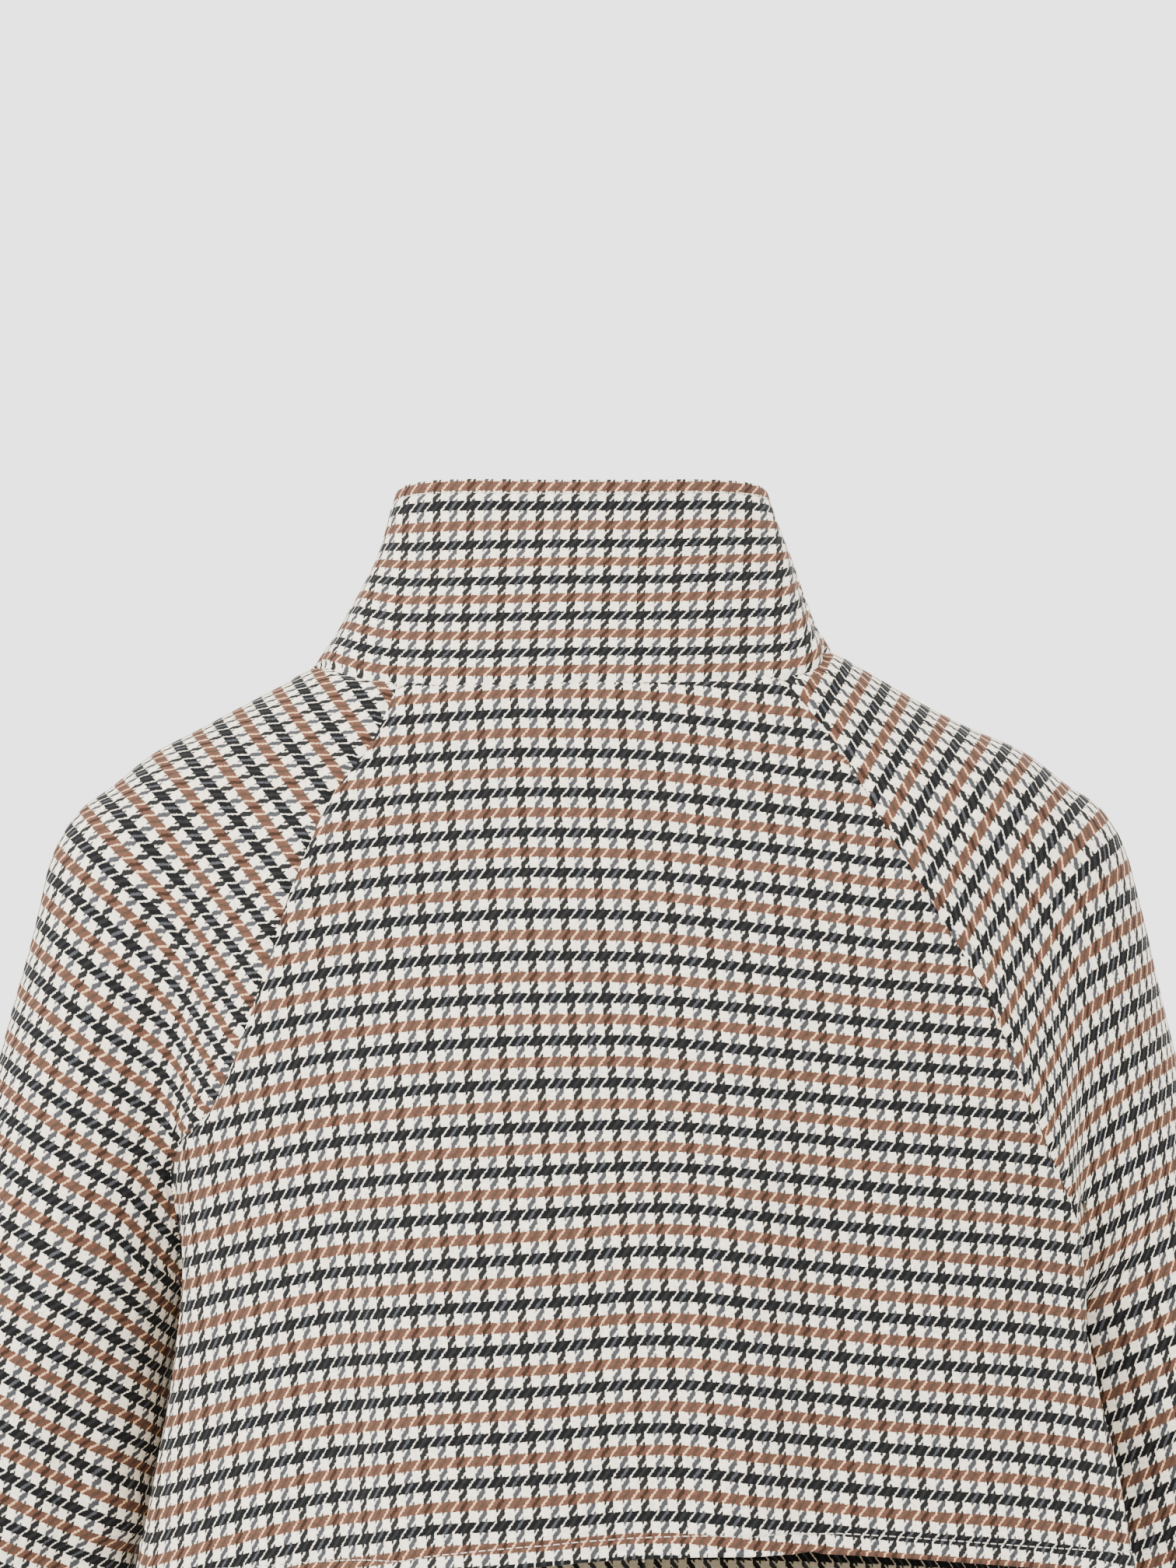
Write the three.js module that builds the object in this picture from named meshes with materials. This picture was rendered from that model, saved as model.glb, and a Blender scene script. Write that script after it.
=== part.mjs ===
// A cropped wool jacket with a funnel collar and raglan sleeves, hollow as it hangs on its wearer.
// Millimetres, +Z up. The back faces +Y, the wearer's left is +X, and the origin is the centre of
// the neck base, level with the collar seam at the centre back.
import * as THREE from "three";

const { lerp, clamp, degToRad } = THREE.MathUtils;

// Driving sizes
const WALL = 2.4; // wool coating with its seam allowances pressed flat
const SEAM = 0.2; // each piece stops this short of a seam
const CREASE_SEAM = { gap: 0.7, from: 0.7, to: 0.82 }; // more where a seam turns in an armpit
const OVERLAP = 25; // each front passes the centre front by this
const LAYER_GAP = 0.6; // between the two fronts where they overlap
// The hem arches up on the back, highest at apexX, and is level and lower in front of frontY
const HEM = {
  back: -371,
  apexX: -72,
  width: 104,
  fall: 7.3,
  flatten: 0.12,
  frontDrop: 42,
  frontY: -60,
  backY: 60,
};
const UNDERARM_Y = -20;
const BUTTON = { count: 5, radius: 10, thick: 3.4, top: -72, step: 78, seat: 0.5, sides: 20 };

// The body from the collar seam down. left and right are how far the back reaches to each side,
// sideLeft and sideRight where the side seams lie, back and front the two middles.
const BODY = [
  { z: 30, back: 38, front: -22, left: 74, right: 74, sideLeft: 74, sideRight: 74 },
  { z: 14, back: 46, front: -38, left: 104, right: 104, sideLeft: 104, sideRight: 104 },
  { z: 6, back: 51, front: -45, left: 120, right: 120, sideLeft: 120, sideRight: 120 },
  { z: -8, back: 59, front: -53, left: 147, right: 144, sideLeft: 147, sideRight: 144 },
  { z: -21, back: 66, front: -62, left: 171, right: 169, sideLeft: 171, sideRight: 169 },
  { z: -35, back: 73, front: -70, left: 193, right: 197, sideLeft: 193, sideRight: 197 },
  { z: -49, back: 80, front: -78, left: 211, right: 214, sideLeft: 210, sideRight: 212 },
  { z: -62, back: 86, front: -86, left: 212, right: 217, sideLeft: 207, sideRight: 208 },
  { z: -84, back: 97, front: -98, left: 205, right: 218, sideLeft: 198, sideRight: 198 },
  { z: -110, back: 107, front: -108, left: 195, right: 219, sideLeft: 189, sideRight: 189 },
  { z: -144, back: 118, front: -118, left: 190, right: 223, sideLeft: 182, sideRight: 182 },
  { z: -176, back: 126, front: -124, left: 188, right: 227, sideLeft: 177, sideRight: 177 },
  { z: -208, back: 132, front: -127, left: 186, right: 229, sideLeft: 174, sideRight: 174 },
  { z: -256, back: 139, front: -129, left: 183, right: 231, sideLeft: 172.5, sideRight: 177.5 },
  { z: -286, back: 142, front: -129, left: 184, right: 234, sideLeft: 177, sideRight: 182 },
  { z: -310, back: 144, front: -129, left: 186, right: 238, sideLeft: 181, sideRight: 184 },
  { z: -340, back: 146, front: -130, left: 191, right: 245, sideLeft: 187, sideRight: 193 },
  { z: -372, back: 148, front: -131, left: 196, right: 250, sideLeft: 194, sideRight: 202 },
  { z: -420, back: 150, front: -132, left: 205, right: 257, sideLeft: 204, sideRight: 212 },
];
const SQUARENESS = 2.3; // exponent of a section, 2 is an ellipse
const BLADE_FOLD = { from: -14, to: 66 }; // behind this y the back is as wide as left and right
// Fillet between torso and arm, tight in the armpits and wide over the shoulders
const FILLET = { armpit: 12, shoulder: 22, from: -105, to: -62 };

// Arm axis of the left sleeve; the right one mirrors it. across is its half width, deep its half depth.
const ARM = [
  { z: -92, x: 181.2, y: -5, across: 54, deep: 56 },
  { z: -144, x: 197.4, y: -16, across: 54, deep: 62 },
  { z: -256, x: 228.2, y: -30, across: 53, deep: 62 },
  { z: -300, x: 242, y: -37, across: 52, deep: 60 },
  { z: -372, x: 255, y: -46, across: 51.5, deep: 58 },
  { z: -450, x: 270, y: -55, across: 48, deep: 54 },
  { z: -600, x: 302, y: -69, across: 43, deep: 47 },
];
const ARM_LEAN = Math.cos(Math.atan(0.29)); // the upper arm leans out by 0.29, across is square to it
const CUFF_Z = -600;

// Soft folds of the back: the middle stands proud of both sides, more and more towards the hem,
// and the folds fade out round the side between flatY and fullY.
const BACK_FOLD = {
  left: 94,
  right: -81,
  width: 34,
  rise: 22,
  rest: 9,
  from: -75,
  to: -330,
  flatY: 25,
  fullY: 85,
};
const MIDDLE_FOLD = { x: 5, width: 30, rise: 5 };

// Collar seam, by angle round the neck: 0 is the left side, 90 the back, 180 the right, 270 the front.
const NECK_CENTRE = { x: 7, y: 0 };
const NECK = [
  { angle: -90, z: -46 },
  { angle: -50, z: -27 },
  { angle: 0, z: 6.6 },
  { angle: 31.5, z: -0.5 },
  { angle: 90, z: 0 },
  { angle: 155, z: 2.2 },
  { angle: 180, z: 13.5 },
  { angle: 230, z: -27 },
  { angle: 270, z: -46 },
];
const COLLAR_TOP = { x: 3, y: -45, across: 79, deep: 57 };
const COLLAR_RIM = [
  { angle: -90, z: 47 },
  { angle: 0, z: 82 },
  { angle: 90, z: 88 },
  { angle: 180, z: 82 },
  { angle: 270, z: 47 },
];
const COLLAR_HOLLOW = 2;
const COLLAR_SEAM = 0.65; // its lower edge stops this short of the seam
const COLLAR_END = 1.2; // each collar end stops this short of the centre front
const COLLAR_RADIUS = 70; // mean radius at the ends, turns that length into an angle

// Raglan seams, from the collar seam at share 0 to the underarm at share 1.
const BACK_SEAM_LEFT = [
  { share: 0, neck: 31.5 },
  { share: 0.1, x: 94, y: 62, z: -27 },
  { share: 0.18, x: 109, y: 70, z: -48 },
  { share: 0.32, x: 126, y: 80, z: -88 },
  { share: 0.47, x: 142, y: 84, z: -133 },
  { share: 0.61, x: 160, y: 76, z: -176 },
  { share: 0.75, x: 177, y: 48, z: -208 },
  { share: 0.88, x: 177, y: 20, z: -238 },
  { share: 1, x: 172.5, y: UNDERARM_Y, z: -256 },
];
const BACK_SEAM_RIGHT = [
  { share: 0, neck: 155 },
  { share: 0.1, x: -107, y: 60, z: -24 },
  { share: 0.2, x: -126, y: 74, z: -58 },
  { share: 0.33, x: -151, y: 84, z: -97 },
  { share: 0.45, x: -174, y: 84, z: -135 },
  { share: 0.6, x: -195, y: 80, z: -184 },
  { share: 0.72, x: -213, y: 64, z: -226 },
  { share: 0.81, x: -220, y: 42, z: -248 },
  { share: 0.9, x: -206, y: 14, z: -266 },
  { share: 1, x: -182, y: UNDERARM_Y, z: -284 },
];
const FRONT_SEAM_LEFT = [
  { share: 0.2, x: 84, y: -80, z: -62 },
  { share: 0.4, x: 112, y: -92, z: -105 },
  { share: 0.6, x: 138, y: -90, z: -150 },
  { share: 0.75, x: 157, y: -80, z: -190 },
  { share: 0.89, x: 170, y: -58, z: -230 },
];
const FRONT_SEAM_RIGHT = [
  { share: 0.2, x: -86, y: -82, z: -66 },
  { share: 0.4, x: -116, y: -94, z: -114 },
  { share: 0.6, x: -143, y: -92, z: -165 },
  { share: 0.75, x: -163, y: -80, z: -207 },
  { share: 0.89, x: -177, y: -55, z: -252 },
];
const FRONT_SEAM_NECK = { left: -50, right: 230 };
// Shares between which a seam runs into the crease behind or before the arm
const CREASE = {
  backLeft: { from: 0.66, to: 0.8 },
  backRight: { from: 0.76, to: 0.9 },
  front: { from: 0.66, to: 0.8 },
};
// Top of the shoulder and outside of the arm, halfway between the two seams of a sleeve
const SHOULDER_LINE = [
  { share: 0, x: 119, y: 0, z: 6 },
  { share: 0.2, x: 156, y: 0, z: -13 },
  { share: 0.4, x: 208, y: 0, z: -44 },
  { share: 0.5, x: 229, y: -4, z: -65 },
  { share: 0.62, x: 240, y: -8, z: -97 },
  { share: 0.8, x: 257, y: -18, z: -158 },
];
const CREST_ABOVE_UNDERARM = 30;
// Rays of a sleeve row start this share of the way from between its seams to its outer line
const RAY_CENTRE = { top: 0.14, low: 0.5, from: 0.35 };
const LONGEST_RAY = 1.35; // of a sleeve row's widest reach; a longer ray has slipped into the torso

// Mesh counts
const SEAM_ROWS = 15;
const SEAM_LEVEL = -300; // height of a body row's middle where its end reaches the underarm
const LEVEL_ENDS = 0.3; // share of a row at either end over which it comes level
const HEM_PLAN = { sideX: 195, frontY: -130 }; // where the side seams and the front edge meet it
const SIDE_ROWS = 6;
const BACK_COLUMNS = 32;
const FRONT_COLUMNS = 12;
const SLEEVE_COLUMNS = 24;
const ARM_ROWS = 12;
const COLLAR_COLUMNS = 64;
const COLLAR_ROWS = 5;

const vec = (x, y, z) => new THREE.Vector3(x, y, z);
const smooth = (value, from, to) => {
  const t = clamp((value - from) / (to - from), 0, 1);
  return t * t * (3 - 2 * t);
};

// Reads one column of a table on a smooth curve through its rows, by the column named in by.
function curve(rows, by, key) {
  const at = rows.map((row) => row[by]);
  const values = rows.map((row) => row[key]);
  const last = rows.length - 1;
  const slope = (i) => {
    const a = Math.max(i - 1, 0);
    const b = Math.min(i + 1, last);
    return (values[b] - values[a]) / (at[b] - at[a]);
  };
  const falling = at[last] < at[0];
  return (where) => {
    let i = 0;
    while (i < last - 1 && (falling ? where < at[i + 1] : where > at[i + 1])) i++;
    const span = at[i + 1] - at[i];
    const t = clamp((where - at[i]) / span, 0, 1);
    const t2 = t * t;
    const t3 = t2 * t;
    return (
      (2 * t3 - 3 * t2 + 1) * values[i] +
      (t3 - 2 * t2 + t) * span * slope(i) +
      (3 * t2 - 2 * t3) * values[i + 1] +
      (t3 - t2) * span * slope(i + 1)
    );
  };
}

const body = {};
for (const key of ["back", "front", "left", "right", "sideLeft", "sideRight"])
  body[key] = curve(BODY, "z", key);
const arm = {};
for (const key of ["x", "y", "across", "deep"]) arm[key] = curve(ARM, "z", key);

// How far the folds push the back out at this place
function backFold(x, z) {
  const half = BACK_FOLD.width / 2;
  const middle =
    smooth(x, BACK_FOLD.right - half, BACK_FOLD.right + half) *
    (1 - smooth(x, BACK_FOLD.left - half, BACK_FOLD.left + half));
  const bend = smooth(x, MIDDLE_FOLD.x - MIDDLE_FOLD.width / 2, MIDDLE_FOLD.x + MIDDLE_FOLD.width / 2);
  const rise = 1 - smooth(z, BACK_FOLD.to, BACK_FOLD.from);
  return rise * (middle * (BACK_FOLD.rise + MIDDLE_FOLD.rise * bend) - BACK_FOLD.rest);
}

// Signed size of the torso's field: below 0 inside, above 0 outside, about a millimetre a unit
function torsoField(p) {
  const z = p.z;
  const y = p.y - backFold(p.x, z) * smooth(p.y, BACK_FOLD.flatY, BACK_FOLD.fullY);
  const wide = smooth(p.y, BLADE_FOLD.from, BLADE_FOLD.to);
  const across =
    p.x > 0
      ? lerp(body.sideLeft(z), body.left(z), wide)
      : lerp(body.sideRight(z), body.right(z), wide);
  const deep = y > 0 ? body.back(z) : -body.front(z);
  const nx = Math.abs(p.x) / across;
  const ny = Math.abs(y) / deep;
  const reach = (nx ** SQUARENESS + ny ** SQUARENESS) ** (1 / SQUARENESS);
  return (reach - 1) * deep;
}

// The same for an arm; side is 1 on the wearer's left and -1 on the right
function armField(p, side) {
  const top = ARM[0];
  const z = Math.min(p.z, top.z);
  const across = arm.across(z);
  const nx = ((side * p.x - arm.x(z)) * ARM_LEAN) / across;
  const ny = (p.y - arm.y(z)) / arm.deep(z);
  const nz = Math.max(p.z - top.z, 0) / across;
  return (Math.sqrt(nx * nx + ny * ny + nz * nz) - 1) * across;
}

// The whole garment: torso and arms joined by a fillet, tight in the creases behind the arms
function garmentField(p) {
  const side = p.x > 0 ? 1 : -1;
  const torso = torsoField(p);
  const sleeve = armField(p, side);
  const fillet = lerp(FILLET.armpit, FILLET.shoulder, smooth(p.z, FILLET.from, FILLET.to));
  const near = Math.max(fillet - Math.abs(torso - sleeve), 0) / fillet;
  return Math.min(torso, sleeve) - (near * near * fillet) / 4;
}

function normalAt(field, p) {
  const step = 0.4;
  const n = vec(
    field(vec(p.x + step, p.y, p.z)) - field(vec(p.x - step, p.y, p.z)),
    field(vec(p.x, p.y + step, p.z)) - field(vec(p.x, p.y - step, p.z)),
    field(vec(p.x, p.y, p.z + step)) - field(vec(p.x, p.y, p.z - step)),
  );
  return n.normalize();
}

// Where a ray from inside first leaves the field's shape
function castOut(field, from, direction) {
  const d = direction.clone().normalize();
  const stride = 3;
  let near = 0;
  let far = stride;
  const at = (t) => from.clone().addScaledVector(d, t);
  while (field(at(far)) < 0 && far < 400) {
    near = far;
    far += stride;
  }
  for (let i = 0; i < 30; i++) {
    const middle = (near + far) / 2;
    if (field(at(middle)) < 0) near = middle;
    else far = middle;
  }
  return at(far);
}

// Moves a point that is near the surface onto it
function settle(field, p, passes = 12) {
  const q = p.clone();
  const step = 0.4;
  for (let i = 0; i < passes; i++) {
    const n = normalAt(field, q);
    const slope = (field(q.clone().addScaledVector(n, step)) - field(q)) / step;
    q.addScaledVector(n, -field(q) / Math.max(slope, 0.2));
  }
  return q;
}

const neckHeight = curve(NECK, "angle", "z");
const rimHeight = curve(COLLAR_RIM, "angle", "z");

function neckPoint(angle) {
  const t = degToRad(angle);
  const from = vec(NECK_CENTRE.x, NECK_CENTRE.y, neckHeight(angle));
  return castOut(garmentField, from, vec(Math.cos(t), Math.sin(t), 0));
}

function collarPoint(angle, share) {
  const t = degToRad(angle);
  const base = neckPoint(angle);
  const rim = vec(
    COLLAR_TOP.x + COLLAR_TOP.across * Math.cos(t),
    COLLAR_TOP.y + COLLAR_TOP.deep * Math.sin(t),
    rimHeight(angle),
  );
  const hollow = 4 * share * (1 - share) * COLLAR_HOLLOW;
  return base.lerp(rim, share).add(vec(-hollow * Math.cos(t), -hollow * Math.sin(t), 0));
}

function collarNormal(angle, share) {
  const low = Math.max(share - 0.05, 0);
  const high = Math.min(share + 0.05, 1);
  const round = collarPoint(angle + 1, share).sub(collarPoint(angle - 1, share));
  const up = collarPoint(angle, high).sub(collarPoint(angle, low));
  return round.cross(up).normalize();
}

// Direction of the seam wall that collar and panels share, long enough to keep both walls' thickness
function neckWall(angle) {
  const panel = normalAt(garmentField, neckPoint(angle));
  const collar = collarNormal(angle, 0);
  const middle = panel.clone().add(collar).normalize();
  return middle.divideScalar(Math.max(middle.dot(panel), 0.6));
}

const neckAngle = (p) => {
  const angle = (Math.atan2(p.y - NECK_CENTRE.y, p.x - NECK_CENTRE.x) * 180) / Math.PI;
  return angle < -90 ? angle + 360 : angle;
};

// Moves a point near an armpit to the bottom of the crease, where torso and arm are equally near
function creasePoint(p) {
  const side = p.x > 0 ? 1 : -1;
  const difference = (q) => torsoField(q) - armField(q, side);
  let q = p.clone();
  for (let i = 0; i < 8; i++) q = settle(garmentField, settle(difference, q, 1));
  return q;
}

// A seam as a function of its share, settled on the garment. Between the two shares of crease it
// runs over into the crease of the armpit.
function seamCurve(rows, neck, underarm, crease) {
  const start = neckPoint(neck);
  const full = [
    { share: 0, x: start.x, y: start.y, z: start.z },
    ...rows.filter((row) => row.share > 0 && row.share < 1),
    { share: 1, x: underarm.x, y: underarm.y, z: underarm.z },
  ];
  const x = curve(full, "share", "x");
  const y = curve(full, "share", "y");
  const z = curve(full, "share", "z");
  return (share) => {
    if (share === 0) return start.clone();
    const seed = vec(x(share), y(share), z(share));
    if (share === 1) return settle(torsoField, seed);
    const free = settle(garmentField, seed);
    const inCrease = smooth(share, crease.from, crease.to);
    return inCrease > 0 ? settle(garmentField, free.lerp(creasePoint(free), inCrease)) : free;
  };
}

const underarm = { left: BACK_SEAM_LEFT.at(-1), right: BACK_SEAM_RIGHT.at(-1) };
const seams = {
  backLeft: seamCurve(BACK_SEAM_LEFT, BACK_SEAM_LEFT[0].neck, underarm.left, CREASE.backLeft),
  backRight: seamCurve(BACK_SEAM_RIGHT, BACK_SEAM_RIGHT[0].neck, underarm.right, CREASE.backRight),
  frontLeft: seamCurve(FRONT_SEAM_LEFT, FRONT_SEAM_NECK.left, underarm.left, CREASE.front),
  frontRight: seamCurve(FRONT_SEAM_RIGHT, FRONT_SEAM_NECK.right, underarm.right, CREASE.front),
};

// Hem height at a place in plan: it arches up on the back and drops towards the front
function hemHeight(x, y) {
  const u = (x - HEM.apexX) / HEM.width;
  const arch = (HEM.fall * u * u) / (1 + HEM.flatten * u * u);
  const backShare = smooth(y, HEM.frontY, HEM.backY);
  return HEM.back - arch * backShare - HEM.frontDrop * (1 - backShare);
}

// Side seam below the underarm; side is 1 or -1, share 0 at the underarm and 1 at the hem
function sideSeam(side, share) {
  const under = side > 0 ? seams.backLeft(1) : seams.backRight(1);
  const hem = hemHeight(side * HEM_PLAN.sideX, UNDERARM_Y / 2);
  const z = lerp(under.z, hem, share);
  const y = lerp(under.y, UNDERARM_Y / 2, share);
  const inner = vec(0, y, z);
  return share === 0 ? under : castOut(torsoField, inner, vec(side, 0, 0));
}

// Plan angle in which a point of the body is counted, flattened so that columns keep an even width
const FLATTEN = 1.55;
const planAngle = (p) => Math.atan2(p.y * FLATTEN, p.x);
const planRay = (angle) => vec(Math.cos(angle), Math.sin(angle) / FLATTEN, 0);

// One row of a body panel, from one end point to the other round the outside. level is the height
// of its middle, where that differs from its ends.
function bodyRow(field, start, end, columns, height, level) {
  const from = planAngle(start);
  let to = planAngle(end);
  if (to < from) to += 2 * Math.PI;
  const row = [];
  for (let i = 0; i <= columns; i++) {
    const share = i / columns;
    if (i === 0) row.push(start.clone());
    else if (i === columns) row.push(end.clone());
    else {
      const angle = lerp(from, to, share);
      let z = lerp(start.z, end.z, share);
      if (level !== undefined) {
        const middle = smooth(share, 0, LEVEL_ENDS) * (1 - smooth(share, 1 - LEVEL_ENDS, 1));
        z = lerp(z, level, middle);
      }
      let p = castOut(field, vec(0, 0, z), planRay(angle));
      if (height) {
        for (let pass = 0; pass < 3; pass++) {
          z = height(p, share);
          p = castOut(field, vec(0, 0, z), planRay(angle));
        }
      }
      row.push(p);
    }
  }
  return row;
}

// Point of the centre front strip at this x and height
function frontPoint(field, x, z) {
  const from = vec(x, 0, z);
  return castOut(field, from, vec(0, -1, 0));
}

const seamShare = (i) => i / SEAM_ROWS;

// Rows of the back: along the raglan seams, then down the side seams to the hem
function backRows() {
  const rows = [];
  for (let i = 0; i <= SEAM_ROWS; i++) {
    const field = i === SEAM_ROWS ? torsoField : garmentField;
    const left = seams.backLeft(seamShare(i));
    const right = seams.backRight(seamShare(i));
    const height = i === 0 ? (p) => neckHeight(neckAngle(p)) : null;
    const level = i === 0 ? undefined : seamShare(i) * SEAM_LEVEL;
    const points = bodyRow(field, left, right, BACK_COLUMNS, height, level);
    rows.push({ field, points, neck: i === 0 });
  }
  const lastHeights = rows[SEAM_ROWS].points.map((p) => p.z);
  for (let i = 1; i <= SIDE_ROWS; i++) {
    const share = i / SIDE_ROWS;
    const height = (p, along) => {
      const above = lastHeights[Math.round(along * BACK_COLUMNS)];
      return lerp(above, hemHeight(p.x, p.y), share);
    };
    rows.push({
      field: torsoField,
      points: bodyRow(torsoField, sideSeam(1, share), sideSeam(-1, share), BACK_COLUMNS, height),
    });
  }
  return rows;
}

// Rows of a front, from its raglan and side seam to its edge past the centre front
function frontRows(side) {
  const edgeX = -side * OVERLAP;
  const seam = side > 0 ? seams.frontLeft : seams.frontRight;
  const neckEdge = frontPoint(garmentField, edgeX, neckHeight(side > 0 ? -90 : 270));
  const under = seam(1);
  const hemZ = hemHeight(edgeX, HEM_PLAN.frontY);
  const rows = [];
  const addRow = (field, end, z, height, neck) => {
    const edge = frontPoint(field, edgeX, z);
    const points =
      side > 0
        ? bodyRow(field, edge, end, FRONT_COLUMNS, height)
        : bodyRow(field, end, edge, FRONT_COLUMNS, height);
    rows.push({ field, points, neck });
  };
  for (let i = 0; i <= SEAM_ROWS; i++) {
    const field = i === SEAM_ROWS ? torsoField : garmentField;
    const share = seamShare(i);
    const height = i === 0 ? (p) => neckHeight(neckAngle(p)) : null;
    addRow(field, seam(share), lerp(neckEdge.z, SEAM_LEVEL, share), height, i === 0);
  }
  const lastHeights = rows[SEAM_ROWS].points.map((p) => p.z);
  for (let i = 1; i <= SIDE_ROWS; i++) {
    const share = i / SIDE_ROWS;
    const height = (p, along) => {
      const above = lastHeights[Math.round(along * FRONT_COLUMNS)];
      return lerp(above, hemHeight(p.x, p.y), share);
    };
    addRow(torsoField, sideSeam(side, share), lerp(SEAM_LEVEL, hemZ, share), height, false);
  }
  return rows;
}

// Rows of a sleeve: an open strip over the shoulder, closed to a tube from the underarm down
function sleeveRows(side) {
  const back = side > 0 ? seams.backLeft : seams.backRight;
  const front = side > 0 ? seams.frontLeft : seams.frontRight;
  const under = back(1);
  const crestZ = under.z + CREST_ABOVE_UNDERARM;
  const lowest = { share: 1, x: arm.x(crestZ) + arm.across(crestZ), y: arm.y(crestZ), z: crestZ };
  const crest = {};
  for (const key of ["x", "y", "z"]) crest[key] = curve([...SHOULDER_LINE, lowest], "share", key);
  const rows = [];
  const ownArm = (p) => armField(p, side);
  for (let i = 0; i <= SEAM_ROWS; i++) {
    const share = seamShare(i);
    const start = back(share);
    const end = front(share);
    const outer = vec(side * crest.x(share), crest.y(share), crest.z(share));
    const field = i === SEAM_ROWS ? ownArm : garmentField;
    const points = [];
    const chord = start.clone().lerp(end, 0.5);
    const inward = lerp(RAY_CENTRE.top, RAY_CENTRE.low, smooth(share, RAY_CENTRE.from, 1));
    const centre = chord.clone().lerp(outer, inward);
    const out = outer.clone().sub(centre).normalize();
    const backward = vec(0, 1, 0).addScaledVector(out, -out.y).normalize();
    const normal = out.clone().cross(backward);
    const reach = (p) => {
      const d = p.clone().sub(centre);
      const u = d.dot(out);
      const v = d.dot(backward);
      return { angle: Math.atan2(v, u), tilt: d.dot(normal) / Math.hypot(u, v) };
    };
    const a = reach(start);
    const b = reach(end);
    const widest = Math.max(...[start, end, outer].map((p) => p.distanceTo(centre)));
    if (i === SEAM_ROWS) {
      a.angle = Math.PI;
      b.angle = -Math.PI;
    }
    for (let j = 0; j <= SLEEVE_COLUMNS; j++) {
      const t = j / SLEEVE_COLUMNS;
      if (i === 0) {
        points.push(neckPoint(lerp(neckAngle(start), neckAngle(end), t)));
      } else if (t === 0) points.push(start.clone());
      else if (t === 1) points.push(end.clone());
      else {
        const angle = lerp(a.angle, b.angle, t);
        const tilt = t < 0.5 ? a.tilt * (1 - 2 * t) : b.tilt * (2 * t - 1);
        const ray = out
          .clone()
          .multiplyScalar(Math.cos(angle))
          .addScaledVector(backward, Math.sin(angle))
          .addScaledVector(normal, tilt);
        const hit = castOut(field, centre, ray);
        const intoTorso = hit.distanceTo(centre) > LONGEST_RAY * widest;
        points.push(intoTorso ? castOut(ownArm, centre, ray) : hit);
      }
    }
    rows.push({ field, points, neck: i === 0 });
  }
  const lastCentre = under.z + CREST_ABOVE_UNDERARM / 2;
  for (let i = 1; i <= ARM_ROWS; i++) {
    const share = i / ARM_ROWS;
    const z = lerp(lastCentre, CUFF_Z, share);
    const centre = vec(side * arm.x(z), arm.y(z), z);
    const below = vec(side * arm.x(z - 20), arm.y(z - 20), z - 20);
    const axis = below.sub(centre).normalize();
    const out = vec(side, 0, 0).addScaledVector(axis, -side * axis.x).normalize();
    const backward = vec(0, 1, 0).addScaledVector(axis, -axis.y).normalize();
    const points = [];
    for (let j = 0; j <= SLEEVE_COLUMNS; j++) {
      const angle = Math.PI - (2 * Math.PI * j) / SLEEVE_COLUMNS;
      const ray = out.clone().multiplyScalar(Math.cos(angle)).addScaledVector(backward, Math.sin(angle));
      points.push(castOut(ownArm, centre, ray));
    }
    rows.push({ field: ownArm, points, neck: false });
  }
  return rows;
}

// Turns rows of surface points into a closed wall. flip turns the faces round, ring is the first
// row from which the last column is the first one again.
function wallGeometry(rows, { flip = false, ring = Infinity, sink = null } = {}) {
  const columns = rows[0].points.length - 1;
  const last = rows.length - 1;
  const outer = [];
  const inner = [];
  rows.forEach((row, i) => {
    outer.push([]);
    inner.push([]);
    row.points.forEach((p, j) => {
      const wall = row.neck ? neckWall(neckAngle(p)) : normalAt(row.field, p);
      const moved = p.clone();
      const pull = (other, by) => moved.addScaledVector(other.clone().sub(p).normalize(), by);
      const inCrease = i < SEAM_ROWS ? smooth(seamShare(i), CREASE_SEAM.from, CREASE_SEAM.to) : 0;
      const sideGap = SEAM + CREASE_SEAM.gap * inCrease;
      if (i === 0) pull(rows[1].points[j], SEAM);
      if (i < ring && j === 0) pull(row.points[1], sideGap);
      if (i < ring && j === columns) pull(row.points[columns - 1], sideGap);
      if (i === ring && (j === 0 || j === columns)) pull(rows[i + 1].points[j], SEAM);
      if (sink) moved.addScaledVector(wall, -sink(p));
      outer[i].push(moved);
      inner[i].push(moved.clone().addScaledVector(wall, -WALL));
    });
    if (i >= ring) {
      outer[i][columns] = outer[i][0];
      inner[i][columns] = inner[i][0];
    }
  });
  const vertices = [];
  const triangle = (a, b, c) => {
    for (const p of flip ? [a, c, b] : [a, b, c]) vertices.push(p.x, p.y, p.z);
  };
  const quad = (a, b, c, d) => {
    triangle(a, b, c);
    triangle(a, c, d);
  };
  for (let i = 0; i < last; i++)
    for (let j = 0; j < columns; j++) {
      quad(outer[i][j], outer[i + 1][j], outer[i + 1][j + 1], outer[i][j + 1]);
      quad(inner[i][j], inner[i][j + 1], inner[i + 1][j + 1], inner[i + 1][j]);
    }
  for (let j = 0; j < columns; j++) {
    quad(outer[0][j], outer[0][j + 1], inner[0][j + 1], inner[0][j]);
    quad(outer[last][j + 1], outer[last][j], inner[last][j], inner[last][j + 1]);
  }
  for (let i = 0; i < Math.min(last, ring); i++) {
    quad(outer[i + 1][0], outer[i][0], inner[i][0], inner[i + 1][0]);
    quad(outer[i][columns], outer[i + 1][columns], inner[i + 1][columns], inner[i][columns]);
  }
  const geometry = new THREE.BufferGeometry();
  geometry.setAttribute("position", new THREE.Float32BufferAttribute(vertices, 3));
  geometry.computeVertexNormals();
  return geometry;
}

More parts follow.
